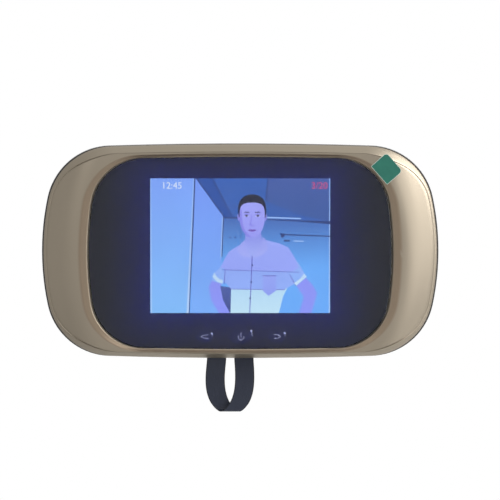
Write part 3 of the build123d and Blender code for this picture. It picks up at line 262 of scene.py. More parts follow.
# Outdoor head: a turned metal cup on a rubber gasket and a back plate.
# Its black face holds the lens, the infrared lamps behind it and the bell button.

dress(finish("gasket_rubber", (34, 34, 35), (44, 44, 45), 0.72, grain=1400.0, depth=0.00002), "gasket")
dress(finish("head_metal", (176, 162, 138), (160, 146, 124), 0.3, patch=45.0, grain=1800.0,
             fixed={"Metallic": 0.85, "Coat Weight": 0.2}), "outdoor_housing", "lens_ring")
dress(finish("face_gloss", (14, 15, 17), (20, 21, 24), 0.08, spread=0.03, depth=0.0), "outdoor_face")
dress(finish("lens_glass", (156, 162, 206), (140, 146, 196), 0.02, spread=0.0, depth=0.0,
             fixed={"Transmission Weight": 1.0, "IOR": 1.52}), "lens_front", "lens_elements")
dress(finish("lamp_clear", (210, 216, 228), (190, 198, 214), 0.06, spread=0.02, depth=0.0,
             fixed={"Transmission Weight": 0.85, "IOR": 1.5}), "infrared_leds", "light_sensor")
dress(finish("bell_satin", (196, 194, 190), (178, 176, 172), 0.26, grain=1800.0, fixed=METAL),
      "bell_button")
BOARD_GREEN = finish("board_green", (22, 74, 46), (16, 58, 36), 0.36, patch=500.0, grain=1200.0,
                     fixed={"Coat Weight": 0.4})
CHIP_BLACK = finish("chip_black", (26, 26, 28), (36, 36, 38), 0.5, grain=2600.0)
SCREW_STEEL = finish("screw_steel", (150, 152, 156), (128, 130, 136), 0.3, grain=2400.0, fixed=METAL)
HEAD_SCREW_RING = 22.0
HEAD_SCREW_ENDS = (-41.0, -49.0)    # face and tip
HEAD_SCREW = (1.9, 1.0, 1.0)        # radius and thickness of the head, radius of the shank
CAMERA_SCREW_RING = 15.6
CAMERA_SCREW_ENDS = (-49.9, -45.4)
BOARD_SCREW = (1.5, 0.9, 0.7)
SCREW_ROUND = 24
SCREW_NECK = 0.3
SCREW_PITCH = 0.4
# Shares of the head's radius and thickness, and of the shank's radius.
RECESS_HALF_WIDE, RECESS_REACH, RECESS_DEEP, RECESS_FOOT = 0.12, 0.6, 0.6, 0.6
HEAD_FLAT, HEAD_ROUND = 0.86, 0.2
ROOT_R, TIP_LONG, TIP_R = 0.8, 0.9, 0.15


def cross_loop(wide, reach):
    """Twenty-four places round a cross, going round like those of a circle."""
    mid = (wide + reach) / 2
    arm = ((mid, -wide), (reach, -wide), (reach, 0.0), (reach, wide), (mid, wide), (wide, wide))
    quarters = [(cos(quarter * pi / 2), sin(quarter * pi / 2)) for quarter in range(4)]
    return [(x * c - y * s, x * s + y * c) for c, s in quarters for x, y in arm]


def capped(rings):
    """Rings joined all round, and closed at both ends."""
    spots, faces = skin(rings)
    count = len(rings[0])
    return spots, faces + [tuple(range(count)), tuple(range(len(spots) - count, len(spots)))]


def cross_screw(across, up, face, tip, head_r, head_thick, shank_r):
    """A screw with a crossed recess, from the face of its head to its tip, with a rolled thread."""
    way = 1 if tip > face else -1
    long = abs(tip - face)
    turns = [2 * pi * (step - 2) / SCREW_ROUND for step in range(SCREW_ROUND)]

    def section(places, depth):
        return [at(across + x, up + y, face + way * depth) for x, y in places]

    def ring(radius, depth):
        return section([(radius * cos(turn), radius * sin(turn)) for turn in turns], depth)

    def cross(size, depth):
        return section(cross_loop(head_r * RECESS_HALF_WIDE * size, head_r * RECESS_REACH * size), depth)

    rings = [cross(RECESS_FOOT, head_thick * RECESS_DEEP), cross(1.0, 0.0), ring(head_r * HEAD_FLAT, 0.0),
             ring(head_r, head_thick * HEAD_ROUND), ring(head_r, head_thick), ring(shank_r, head_thick)]
    depth = head_thick + SCREW_NECK
    while depth < long - shank_r:
        rings += [ring(shank_r * ROOT_R, depth), ring(shank_r, depth + SCREW_PITCH / 2)]
        depth += SCREW_PITCH
    return capped(rings + [ring(shank_r * ROOT_R, long - shank_r * TIP_LONG), ring(shank_r * TIP_R, long)])


def together(pieces):
    """Several meshes as one."""
    spots, faces = [], []
    for more_spots, more_faces in pieces:
        faces += [tuple(place + len(spots) for place in face) for face in more_faces]
        spots += more_spots
    return spots, faces


def round_places(radius, degrees):
    """Places on a circle, at angles from the right round."""
    return [(radius * cos(radians(angle)), radius * sin(radians(angle))) for angle in degrees]


def screws(name, places, ends, sizes, body, node):
    """Like screws at several places, which stand for the plain ones of a node."""
    build(name, *together([cross_screw(x, y, *ends, *sizes) for x, y in places]), SCREW_STEEL, body,
          [node], "screw_steel", sharp=40.0)


screws("head_screws", round_places(HEAD_SCREW_RING, (30, 150, 270)), HEAD_SCREW_ENDS, HEAD_SCREW,
       "door_unit", "outdoor_screws")
screws("camera_screws", round_places(CAMERA_SCREW_RING, (90, 210, 330)), CAMERA_SCREW_ENDS, BOARD_SCREW,
       "door_unit", "camera_board_screws")
dress(finish("black_plastic", (24, 24, 26), (32, 32, 34), 0.42, grain=1800.0, depth=0.00002),
      "outdoor_base", "lens_barrel")
dress(BOARD_GREEN, "camera_board")
dress(CHIP_BLACK, "image_sensor", "bell_switch")

# Ribbon cable: a flat strip of copper tracks in a dark film, one length through the tube.
# It hangs out below the unit in a loop and comes back up into the connector.

RIBBON_WIDE = 6.2
RIBBON_THICK = 0.3
RIBBON_ROUTE = (
    (0.0, 0.0, 4.4), (0.0, 0.0, 5.0), (0.0, -0.4, 5.8), (0.03, -1.2, 6.2), (0.1, -2.8, 6.5),
    (0.35, -9.5, 6.45), (0.75, -18.0, 6.3), (1.0, -27.0, 6.1), (1.14, -34.9, 6.0), (1.42, -38.5, 6.3),
    (1.47, -42.2, 6.6), (1.05, -45.8, 6.8), (0.05, -48.7, 6.9), (-1.5, -50.8, 6.9), (-2.85, -51.86, 6.4),
    (-3.95, -51.86, 4.9), (-5.3, -50.8, 4.4), (-6.8, -48.7, 4.4), (-7.8, -45.8, 4.55),
    (-8.15, -42.2, 4.9), (-7.95, -38.5, 5.4), (-7.55, -34.9, 5.85), (-7.4, -27.0, 6.15),
    (-7.36, -21.8, 6.3), (-7.36, -19.0, 6.3), (-7.36, -17.1, 6.3),
)
RIBBON_STEPS = 8
# Corners of the strip's section in half widths and half thicknesses, and their shares across it.
RIBBON_CORNERS = ((-1, 0.5, 0.0), (-0.98, 1, 0.015), (0.98, 1, 0.985), (1, 0.5, 1.0),
                  (1, -0.5, 1.0), (0.98, -1, 0.985), (-0.98, -1, 0.015), (-1, -0.5, 0.0))
RIBBON_MARGIN = 0.06
MARGIN_BARE = 0.6        # share of the margin that is bare before the tracks fade in
TRACKS = 10
TRACK_HIGH = 0.00004


def meshed(line):
    """Spots and faces of a curve or of writing, which is then thrown away."""
    holder = bpy.data.objects.new(line.name, line)
    mesh = bpy.data.meshes.new_from_object(holder)
    spots = [spot.co.copy() for spot in mesh.vertices]
    faces = [tuple(face.vertices) for face in mesh.polygons]
    bpy.data.objects.remove(holder)
    bpy.data.curves.remove(line)
    bpy.data.meshes.remove(mesh)
    return spots, faces


def smooth_line(points):
    """The spots along a smooth line that the given points control."""
    line = bpy.data.curves.new("line", "CURVE")
    line.dimensions = "3D"
    line.resolution_u = RIBBON_STEPS
    spline = line.splines.new("NURBS")
    spline.points.add(len(points) - 1)
    for held, point in zip(spline.points, points):
        held.co = (*point, 1.0)
    spline.order_u = 3
    spline.use_endpoint_u = True
    return meshed(line)[0]


def strip_rings(spots):
    """Sections of the flat strip, level across and square to its line as seen from the side."""
    rings = []
    wide = Vector((RIBBON_WIDE / 2 * MM, 0, 0))
    for index, spot in enumerate(spots):
        run = spots[min(index + 1, len(spots) - 1)] - spots[max(index - 1, 0)]
        thin = run.cross(wide).normalized() * (RIBBON_THICK / 2 * MM)
        rings.append([spot + wide * across + thin * through for across, through, share in RIBBON_CORNERS])
    return rings


def inside(material):
    """A material's nodes, the colour it has so far, and its shader's inputs."""
    tree = material.node_tree
    return tree, tree.nodes["Group"].outputs["Colour"], tree.nodes["Principled BSDF"].inputs


def ribbon_film():
    """Dark film over copper tracks, which show as faint raised stripes between two bare margins."""
    material = finish("ribbon_film", (29, 34, 52), (37, 42, 54), 0.4, patch=90.0, depth=0.0,
                      fixed={"Specular IOR Level": 0.3})
    tree, colour, shader = inside(material)
    strip = add_node(tree, "UVMap", {}, uv_map="strip")["UV"]
    across = add_node(tree, "SeparateXYZ", {"Vector": strip})["X"]
    wave = reckoned(tree, "PINGPONG", across, 0.5 / TRACKS)
    height = add_node(tree, "MapRange", {"Value": wave, "From Max": 0.5 / TRACKS})["Result"]
    relief = add_node(tree, "Bump", {"Strength": 0.4, "Distance": TRACK_HIGH, "Height": height})
    tree.links.new(relief["Normal"], shader["Normal"])
    margin = add_node(tree, "MapRange", {
        "Value": reckoned(tree, "PINGPONG", across, 0.5), "From Min": RIBBON_MARGIN * MARGIN_BARE,
        "From Max": RIBBON_MARGIN, "To Min": 1.0, "To Max": 0.0})["Result"]
    tree.links.new(mixed(tree, margin, colour, tone(12, 14, 20)), shader["Base Color"])
    return material


def lay_strip(piece):
    """Across and along places on the strip, for its stripes."""
    mesh = piece.data
    sheet = mesh.uv_layers.new(name="strip")
    rows = len(mesh.vertices) / len(RIBBON_CORNERS)
    for corner in mesh.loops:
        row, place = divmod(corner.vertex_index, len(RIBBON_CORNERS))
        sheet.data[corner.index].uv = (RIBBON_CORNERS[place][2], row / rows)


ribbon_line = smooth_line([at(*point) for point in RIBBON_ROUTE])
ribbon = build("ribbon_cable", *capped(strip_rings(ribbon_line)), ribbon_film(), "door_unit", ["ribbon_loop"],
               "ribbon_grey", sharp=50.0)
lay_strip(ribbon)
ribbon.parent = None
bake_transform(ribbon)
dress(finish("ribbon_straight", (46, 52, 66), (58, 62, 72), 0.3, patch=90.0), "ribbon_in_tube")

# Boards, sockets and switches: the green main board with its chips and screws.
# The ribbon's connector and latch, the card and charging sockets are soldered to it.

dress(finish("socket_tin", (186, 188, 190), (164, 166, 170), 0.3, grain=2000.0, fixed=METAL),
      "usb_socket", "card_socket", "lcd_frame")
dress(finish("connector_white", (214, 208, 192), (202, 196, 180), 0.4, grain=1600.0), "ribbon_connector",
      "backlight_unit")
dress(finish("latch_brown", (58, 44, 36), (70, 54, 44), 0.4, grain=1600.0), "ribbon_latch")
dress(BOARD_GREEN, "main_board")
dress(CHIP_BLACK, "board_chips", "key_switches")
BOARD_HOLES = (31.5, 28.9)        # half their spacing across and up
BOARD_SCREW_ENDS = (8.5, 12.9)


def corner_places(across, up):
    """Four places, level and even on both sides of the middle."""
    return [(x, y) for x in (-across, across) for y in (-up, up)]


screws("board_screws", corner_places(*BOARD_HOLES), BOARD_SCREW_ENDS, BOARD_SCREW, "monitor",
       "main_board_screws")

CARD_MIDDLE = 23.6
CARD_HALF = 5.5
CARD_FOOT = -34.05
CARD_TOP = -19.51
CARD_BACK = 8.35
CARD_FRONT = 9.05
CARD_STEP = 1.2
CARD_STEP_RISE = 0.8
CARD_NIP = 0.4
CARD_END_NIPS = (0.6, 0.3)
RIDGE_SHORT = 0.8
RIDGE_UP = (0.15, 0.6)
RIDGE_HIGH = 0.12
PADS = 7
PAD_FIRST = -4.3
PAD_WIDE = 0.8
PAD_PITCH = 1.1
PAD_DOWN = (3.2, 0.5)
PAD_SUNK, PAD_PROUD = 0.02, 0.01


def plate(loop, back, front):
    """A flat piece of the loop's outline between two heights."""
    return capped([[at(x, y, out) for x, y in loop] for out in (back, front)])


def card_slab():
    """The card's body, stepped on one side, with its corners nipped off."""
    left, right = CARD_MIDDLE - CARD_HALF, CARD_MIDDLE + CARD_HALF
    step = right - CARD_STEP
    half = (CARD_FOOT + CARD_TOP) / 2
    wide_nip, small_nip = CARD_END_NIPS
    loop = [(left + CARD_NIP, CARD_FOOT), (right - CARD_NIP, CARD_FOOT), (right, CARD_FOOT + CARD_NIP),
            (right, half - CARD_STEP_RISE), (step, half), (step, CARD_TOP - small_nip),
            (step - small_nip, CARD_TOP), (left + wide_nip, CARD_TOP), (left, CARD_TOP - wide_nip),
            (left, CARD_FOOT + CARD_NIP)]
    return plate(loop, CARD_BACK, CARD_FRONT)


def flat_bar(left, right, low, high, back, front):
    """A bar between six planes."""
    return plate(((left, low), (right, low), (right, high), (left, high)), back, front)


build("micro_card", *card_slab(), CHIP_BLACK, "memory_card_body", ["memory_card"], "chip_black")
half_ridge = CARD_HALF - RIDGE_SHORT
build("card_ridge", *flat_bar(CARD_MIDDLE - half_ridge, CARD_MIDDLE + half_ridge, CARD_FOOT + RIDGE_UP[0],
                              CARD_FOOT + RIDGE_UP[1], CARD_BACK - RIDGE_HIGH, CARD_BACK),
      CHIP_BLACK, "memory_card_body", slot="chip_black")
GOLD = finish("contact_gold", (208, 172, 96), (190, 154, 84), 0.28, grain=1600.0, fixed=METAL)
pads = []
for left in [CARD_MIDDLE + PAD_FIRST + PAD_PITCH * place for place in range(PADS)]:
    pads.append(flat_bar(left, left + PAD_WIDE, CARD_TOP - PAD_DOWN[0], CARD_TOP - PAD_DOWN[1],
                         CARD_FRONT - PAD_SUNK, CARD_FRONT + PAD_PROUD))
build("card_contacts", *together(pads), GOLD, "memory_card_body", slot="plated_brass")

# Cells and speaker: two AAA cells with plated contacts and springs, and a paper cone
# speaker with a pressed frame and a magnet, both in the rear cover.

COPPER_FROM = 0.0095        # metres up from the cell's middle
WRAP_END = 0.0206


def height_on_piece(tree):
    """How high a place is, in metres from the piece's origin."""
    return add_node(tree, "SeparateXYZ", {"Vector": on_piece(tree)})["Z"]


def cell_wrap(name, up):
    """Printed wrap, dark with a copper band towards the nub, and bare steel at both ends."""
    material = finish(name, (42, 46, 54), (52, 56, 64), 0.28, grain=1500.0, fixed={"Metallic": 0.5})
    tree, colour, shader = inside(material)
    height = height_on_piece(tree)
    copper, steel = tone(190, 118, 62), tone(188, 190, 194)
    for edge, paint in ((COPPER_FROM * up, copper), (WRAP_END * up, steel), (-WRAP_END * up, steel)):
        past = reckoned(tree, "GREATER_THAN" if edge > 0 else "LESS_THAN", height, edge)
        colour = mixed(tree, past, colour, paint)
    tree.links.new(colour, shader["Base Color"])
    return material


dress(finish("plated_contact", (196, 190, 176), (176, 170, 156), 0.28, fixed=METAL),
      "battery_contacts", "battery_springs")
dress(finish("cone_paper", (38, 36, 34), (52, 48, 46), 0.8, grain=2600.0, depth=0.00004), "speaker_cone")
dress(finish("magnet_plate", (120, 122, 126), (100, 102, 108), 0.36, fixed=METAL),
      "speaker_magnet", "speaker_frame")
dress(cell_wrap("cell_wrap_up", 1), "battery_1")
dress(cell_wrap("cell_wrap_down", -1), "battery_2")

# Rear cover and battery lid: dark moulded plastic with a fine spark texture.
# The cover closes the case from behind and is held by four screws in its wells.

dress(finish("charcoal_plastic", (44, 43, 42), (54, 52, 50), 0.46, spread=0.1, grain=2600.0, depth=0.00003),
      "rear_cover", "battery_cover")
CASE_HOLES = (44.0, 28.2)
LONG_SCREW_ENDS = (1.9, 11.6)
LONG_SCREW = (1.9, 0.9, 1.0)
screws("long_screws", corner_places(*CASE_HOLES), LONG_SCREW_ENDS, LONG_SCREW, "monitor", "case_screws")

# Front frame: one moulding with a champagne metallic coat, a bevelled rim and rolled ends.
# Its sloped collar drops to the ledge that the panel is glued on.

# Outlines: half width, half height, and the radii of the side, corner and long arcs.
BODY = (63.13, 34.3, 82.2, 20.97, 1310.0)
CREASE = (60.8, 32.45, 82.0, 20.7, 1250.0)
COLLAR = (51.1, 31.85, 104.0, 18.6, 1240.0)
PANEL = (48.5, 30.75, 113.9, 17.1, 1235.0)
PANEL_DROP = 0.18
PART_LINE = 9.5
EDGE_TOP = 10.9
FRONT_TOP = 18.2
PANEL_TOP = 16.6
PANEL_BACK = 15.1
LEDGE_BACK = 13.9
LEDGE_WIDE = 1.0
WALL = 1.8
FIT = 0.1
ROLL_START = 51.1
ROLL_R = 11.0
END_SLOPE = radians(38.0)
ARC_STEPS = (10, 26, 16)
HALVINGS = 24
RIM_SHARES = (0.03, 0.35, 0.7)
CRESCENT_SHARES = (0.08, 0.18, 0.3, 0.42, 0.54, 0.66, 0.78, 0.9)
EDGE_ROUND = 0.35
EDGE_DROP = 0.06
GROOVE_WIDE = 0.9
GROOVE_DEEP = 0.2
GROOVE_SHARE = 0.3        # of the room between crease and collar, at most
GROOVE_FADE = 0.6         # shallower where that room is under 1 / 0.6 mm
GROOVE_NEAR, GROOVE_FLOOR = 0.35, 0.7        # shares of its width
# How far in from the collar's edge, then how high on the sloped long sides and at the ends,
# where the collar is almost level up to a bright lip round the panel.
COLLAR_WALL = ((-0.1, 1.0, 1.0), (0.02, 0.95, 0.99), (0.1, 0.85, 0.97), (0.3, 0.55, 0.93), (0.45, 0.36, 0.9),
               (0.62, 0.2, 0.86), (0.74, 0.11, 0.83), (0.77, 0.09, 0.81), (0.9, 0.03, 0.5), (0.98, 0.0, 0.0))
COLLAR_LIP_RINGS = 3
END_FROM = 28.0           # where along the case the long sides begin to pass into the ends
END_LONG = 18.0


def outline(shape, grow=0.0):
    """Places round an outline of two side arcs, four corner arcs and two long arcs."""
    half_wide, half_tall, side_r, corner_r, long_r = [size + grow for size in shape]
    side_x, long_y = half_wide - side_r, half_tall - long_r
    span = hypot(side_x, long_y)
    from_side, from_long = side_r - corner_r, long_r - corner_r
    along = (from_side ** 2 - from_long ** 2 + span ** 2) / (2 * span)
    across = sqrt(from_side ** 2 - along ** 2)
    centre_x = side_x - side_x / span * along - long_y / span * across
    centre_y = long_y / span * along - side_x / span * across
    low_turn = atan2(centre_y, centre_x - side_x)
    high_turn = atan2(centre_y - long_y, centre_x)
    arcs = ((side_x, 0.0, side_r, 0.0, low_turn), (centre_x, centre_y, corner_r, low_turn, high_turn),
            (0.0, long_y, long_r, high_turn, pi / 2))
    quarter = []
    for (x, y, radius, first, last), steps in zip(arcs, ARC_STEPS):
        turns = [first + (last - first) * step / steps for step in range(steps)]
        quarter += [(x + radius * cos(turn), y + radius * sin(turn)) for turn in turns]
    upper = quarter + [(0.0, half_tall)] + [(-x, y) for x, y in reversed(quarter)]
    return upper + [(x, -y) for x, y in reversed(upper[1:-1])]


def panel_outline(shape, grow=0.0):
    """An outline round the panel, which sits a little low in the case."""
    return [(x, y - PANEL_DROP) for x, y in outline(shape, grow)]


def face_height(x, y):
    """Height of the frame's face: level in the middle, rolled and then sloped along each end's arc."""
    reach = hypot(abs(x) + BODY[2] - BODY[0], y) - (BODY[2] - BODY[0]) - ROLL_START
    if reach <= 0:
        return FRONT_TOP
    rolled = ROLL_R * sin(END_SLOPE)
    if reach < rolled:
        return FRONT_TOP - ROLL_R + sqrt(ROLL_R ** 2 - reach ** 2)
    return FRONT_TOP - ROLL_R * (1 - cos(END_SLOPE)) - (reach - rolled) * tan(END_SLOPE)


def between(low, high, share):
    """The place a share of the way from one place to another."""
    return tuple(a + (b - a) * share for a, b in zip(low, high))


def crease_place(low, high):
    """Where the sloped rim meets the frame's face, found by halving."""
    first, last = 0.0, 1.0
    for _ in range(HALVINGS):
        share = (first + last) / 2
        x, y, out = between(low, high, share)
        first, last = (share, last) if out < face_height(x, y) else (first, share)
    return between(low, high, first)


def frame_rings():
    """Rings from the part line over rim, face and collar and back inside, and the collar's first ring."""
    rim = [(x, y, EDGE_TOP) for x, y in outline(BODY)]
    top = [(x, y, FRONT_TOP) for x, y in outline(CREASE)]
    crease = [crease_place(low, high) for low, high in zip(rim, top)]
    collar, seat, ledge = panel_outline(COLLAR), panel_outline(PANEL, FIT), panel_outline(PANEL, -LEDGE_WIDE)
    inside_wall = outline(BODY, -WALL)
    rings = [[(x, y, PART_LINE) for x, y, z in rim], [(x, y, z - EDGE_ROUND) for x, y, z in rim]]
    rings += [[between(low, high, share) for low, high in zip(rim, crease)] for share in RIM_SHARES]
    edge, inner, floor, ridge = [], [], [], []
    for low, high, (x, y) in zip(rim, crease, collar):
        room = hypot(x - high[0], y - high[1])
        climb = hypot(high[0] - low[0], high[1] - low[1], high[2] - low[2])
        edge.append(between(high, low, EDGE_ROUND / climb))
        step = min(GROOVE_WIDE, room * GROOVE_SHARE) / room
        for ring, share, sunk in ((inner, GROOVE_NEAR, 0.0), (floor, GROOVE_FLOOR, 1.0), (ridge, 1.0, 0.0)):
            place = between(high[:2], (x, y), step * share)
            deep = sunk * GROOVE_DEEP * min(1.0, room * GROOVE_FADE)
            ring.append((*place, face_height(*place) - deep))
    rings += [edge, [(x, y, z - EDGE_DROP) for x, y, z in crease], inner, floor, ridge]
    for share in CRESCENT_SHARES:
        places = [between(start[:2], end, share) for start, end in zip(ridge, collar)]
        rings.append([(*place, face_height(*place)) for place in places])
    collar_first = len(rings)
    for share, beside, ended in COLLAR_WALL:
        ring = []
        for outer, inner_end in zip(collar, seat):
            height = beside + (ended - beside) * min(max((abs(outer[0]) - END_FROM) / END_LONG, 0.0), 1.0)
            out = PANEL_TOP + (face_height(*outer) - PANEL_TOP) * height
            ring.append((*between(outer, inner_end, share), out))
        rings.append(ring)
    for places, out in ((seat, PANEL_BACK), (ledge, PANEL_BACK), (ledge, LEDGE_BACK),
                        (inside_wall, EDGE_TOP + WALL), (inside_wall, PART_LINE)):
        rings.append([(x, y, out) for x, y in places])
    return [[at(x, y, z) for x, y, z in ring] for ring in rings], collar_first


def champagne_coat():
    """Champagne paint with fine metal flakes; on the collar's wall a browner, darker colour is painted shade,
    with less metal.
    """
    material = finish("champagne_coat", (136, 127, 113), (130, 121, 107), 0.36, spread=0.05, patch=30.0,
                      grain=5000.0, depth=0.000004, fixed={"Specular Tint": (0.6, 0.57, 0.52, 1.0)})
    tree, colour, shader = inside(material)
    wall = add_node(tree, "Attribute", {}, attribute_name="wall")["Fac"]
    flakes = add_node(tree, "MapRange", {"Value": wall, "To Min": 0.78, "To Max": 0.35})["Result"]
    # The browner colour mixed in on the collar's wall is painted shade of the recess.
    tree.links.new(mixed(tree, wall, colour, tone(120, 106, 90)), shader["Base Color"])
    tree.links.new(flakes, shader["Metallic"])
    return material


def mark_wall_shade(piece, first, last):
    """Marks the spots of the collar's wall, which get the painted shade."""
    mark = piece.data.attributes.new("wall", "FLOAT", "POINT")
    shares = [1.0 if first <= place < last else 0.0 for place in range(len(piece.data.vertices))]
    mark.data.foreach_set("value", shares)


front_rings, collar_first = frame_rings()
front = build("moulded_front_frame", *skin(front_rings, wrap=True), champagne_coat(), "monitor",
              ["front_frame"], "champagne_coat", sharp=40.0)
ring_count = len(front_rings[0])
# Painted shade goes on the collar's wall, all but its lip rings.
mark_wall_shade(front, collar_first * ring_count, (collar_first + len(COLLAR_WALL) - COLLAR_LIP_RINGS) * ring_count)

# Keys: three dished caps of glossy black plastic that stand in the panel's openings.
# Each has a flange behind the panel and a stem, and its sign is printed in thin light lines.

KEY_UP = -26.98
KEY_MIDDLE = 0.1
KEY_PITCH = 11.6
KEYS = (("left", KEY_MIDDLE - KEY_PITCH, 5.4, 3.8), ("power", KEY_MIDDLE, 7.2, 4.4),
        ("right", KEY_MIDDLE + KEY_PITCH, 5.4, 3.8))
KEY_FLANGE_WIDE = 0.55
KEY_SPARE = 0.15
KEY_FLANGE_LOW = 14.25
KEY_FLANGE_TOP = 15.05
KEY_STEM_LOW = 12.8
KEY_STEM_R = 1.0
KEY_EDGE_R = 0.16
KEY_EDGE_STEPS = 5
KEY_DISH_R = 62.0
KEY_DISH_LOW = 16.5
KEY_DISH_SHARES = (0.7, 0.35, 0.02)
KEY_ROUND = 24
SIGN_WIDE = 0.23
SIGN_TOP = 16.6
SIGN_SHIFTS = {"left": 0.0, "power": 0.15, "right": 0.1}
KEY_SIGNS = {
    "left": [[(1.2, 0.55), (0.0, 0.45), (-1.15, 0.0), (0.0, -0.5), (1.4, -0.6)]],
    "power": [[(-0.85, 0.4), (-0.88, -0.3), (-0.55, -0.85), (0.0, -1.1), (0.55, -0.85), (0.9, -0.3),
               (0.92, 0.25)], [(0.0, 1.25), (0.0, -0.3)]],
    "right": [[(-1.1, 0.6), (0.3, 0.55), (1.1, 0.0), (0.3, -0.55), (-1.0, -0.6)]],
}
# Painted glints beside the keys: a light drop with a tail for the highlight on each cap's right end.
GLINT_HEAD_R = 0.36
GLINT_TAIL = 0.13
GLINT_LEAN = 0.45
GLINT_TOP = 16.61
GLINT_STEPS = 28
GLINT_FADE = (-0.6, 1.0)        # up from the middle of the keys
# How far to the right of each cap's middle and up its painted glint begins, and how tall it is.
KEY_GLINTS = {"left": (2.35, 1.3, 2.4), "power": (3.4, 2.2, 3.4), "right": (2.45, 1.5, 2.4)}


def pill_ring(x, long, wide, height):
    """Spots of a round-ended loop lying across; height is a number or a rule for each distance."""
    ring = []
    radius = wide / 2
    run = max(long / 2 - radius, 0.0)
    for step in range(KEY_ROUND):
        turn = 2 * pi * (step + 0.5) / KEY_ROUND
        across = radius * cos(turn) + (run if cos(turn) > 0 else -run)
        up = radius * sin(turn)
        ring.append(at(x + across, KEY_UP + up, height(hypot(across, up)) if callable(height) else height))
    return ring


def dish(distance):
    """Height of a cap's hollow top at a distance from its middle."""
    return KEY_DISH_LOW + distance ** 2 / (2 * KEY_DISH_R)


def key_cap(x, long, wide):
    """Rings from the stem over the flange and the rounded edge to the middle of the dish."""
    stem = 2 * KEY_STEM_R
    grow = 2 * (KEY_FLANGE_WIDE - KEY_SPARE)
    rings = [pill_ring(x, stem, stem, out) for out in (KEY_STEM_LOW, KEY_FLANGE_LOW)]
    rings += [pill_ring(x, long + grow, wide + grow, out) for out in (KEY_FLANGE_LOW, KEY_FLANGE_TOP)]
    rings.append(pill_ring(x, long, wide, KEY_FLANGE_TOP))
    for step in range(KEY_EDGE_STEPS + 1):
        turn = step / KEY_EDGE_STEPS * pi / 2
        inset = 2 * KEY_EDGE_R * (1 - cos(turn))
        drop = KEY_EDGE_R * (1 - sin(turn))
        rings.append(pill_ring(x, long - inset, wide - inset, lambda distance: dish(distance) - drop))
    rings += [pill_ring(x, long - wide * (1 - share), wide * share, dish) for share in KEY_DISH_SHARES]
    return capped(rings)


def pen_line(points, wide):
    """Spots and faces of a flat line of even width through the given points."""
    points = [Vector(point) for point in points]
    runs = [(after - before).normalized() for before, after in zip(points, points[1:])]
    spots = []
    for here, before, after in zip(points, runs[:1] + runs, runs + runs[-1:]):
        run = (before + after).normalized()
        half = Vector((-run.y, run.x)) * wide / 2 / max(run.dot(after), 0.5)
        spots += [here + half, here - half]
    return spots, strip_faces(len(runs))


def strip_faces(count):
    """Faces of a strip whose spots come in pairs."""
    return [(2 * step, 2 * step + 1, 2 * step + 3, 2 * step + 2) for step in range(count)]


def drawing(lines, wide, middle, out):
    """Spots and faces of several flat lines drawn at one height round a middle."""
    spots, faces = together([pen_line(line, wide) for line in lines])
    return [at(middle[0] + spot.x, middle[1] + spot.y, out) for spot in spots], faces


def glint_drop(x, y, tall):
    """A painted glint beside a cap: a light drop with a thin tail, laid on the panel."""
    spots = []
    for step in range(GLINT_STEPS + 1):
        share = step / GLINT_STEPS
        down = tall * share
        head = sqrt(max(1 - ((down - GLINT_HEAD_R) / GLINT_HEAD_R) ** 2, 0.0)) * GLINT_HEAD_R
        half = max(head, GLINT_TAIL * sqrt(1 - share) if down > GLINT_HEAD_R else 0.0)
        middle = x + GLINT_LEAN * sin(share * pi / 2)
        spots += [at(middle - half, y - down, GLINT_TOP), at(middle + half, y - down, GLINT_TOP)]
    return spots, strip_faces(GLINT_STEPS)


def fading_glint_paint():
    """Painted glint, light at its drop and fading out towards the tail."""
    material = finish("painted_glint_colour", (184, 190, 232), (166, 172, 220), 0.3, depth=0.0)
    tree, colour, shader = inside(material)
    low, high = [(KEY_UP + up) * MM for up in GLINT_FADE]
    fade = add_node(tree, "MapRange", {
        "Value": height_on_piece(tree), "From Min": low, "From Max": high})["Result"]
    tree.links.new(mixed(tree, fade, tone(40, 46, 92), colour), shader["Base Color"])
    return material


KEY_GLOSS = finish("key_gloss", (7, 15, 70), (11, 20, 78), 0.1, spread=0.04, depth=0.0, fixed={"IOR": 1.38})
SIGN_PRINT = finish("sign_print", (168, 168, 206), (152, 152, 192), 0.4, depth=0.0)
GLINT_PAINT = fading_glint_paint()
for name, x, long, wide in KEYS:
    body = f"key_{name}_body"
    long, wide = long + 2 * KEY_SPARE, wide + 2 * KEY_SPARE
    build(f"key_cap_{name}", *key_cap(x, long, wide), KEY_GLOSS, body, [f"key_{name}"], "key_black",
          sharp=40.0)
    # Beside each cap lies a painted glint, a highlight on the cap's right end drawn as a light drop.
    glint_x, glint_y, glint_tall = KEY_GLINTS[name]
    build(f"key_glint_{name}", *glint_drop(x + glint_x, KEY_UP + glint_y, glint_tall), GLINT_PAINT, "monitor",
          slot="black_gloss")
    build(f"key_sign_{name}", *drawing(KEY_SIGNS[name], SIGN_WIDE, (x + SIGN_SHIFTS[name], KEY_UP), SIGN_TOP),
          SIGN_PRINT, body, slot="key_black")

# Panel and film: a clear acrylic plate printed black on its back round the window.
# A thin clear film still covers it, with a green tongue to pull it off by.

PICTURE_WIDE = 57.6
PICTURE_TALL = 43.2
PICTURE_UP = 2.07
WINDOW_CORNER_R = 0.2
PRINT_THICK = 0.03
PRINT_INSET = 0.02
KEY_CLEAR = 0.2
HALO_REACH = 0.016
HALO_FALL = 1.5
dress(finish("clear_acrylic", (240, 244, 250), (236, 240, 248), 0.03, spread=0.0, depth=0.0,
             fixed={"Transmission Weight": 1.0, "IOR": 1.33}), "front_panel")


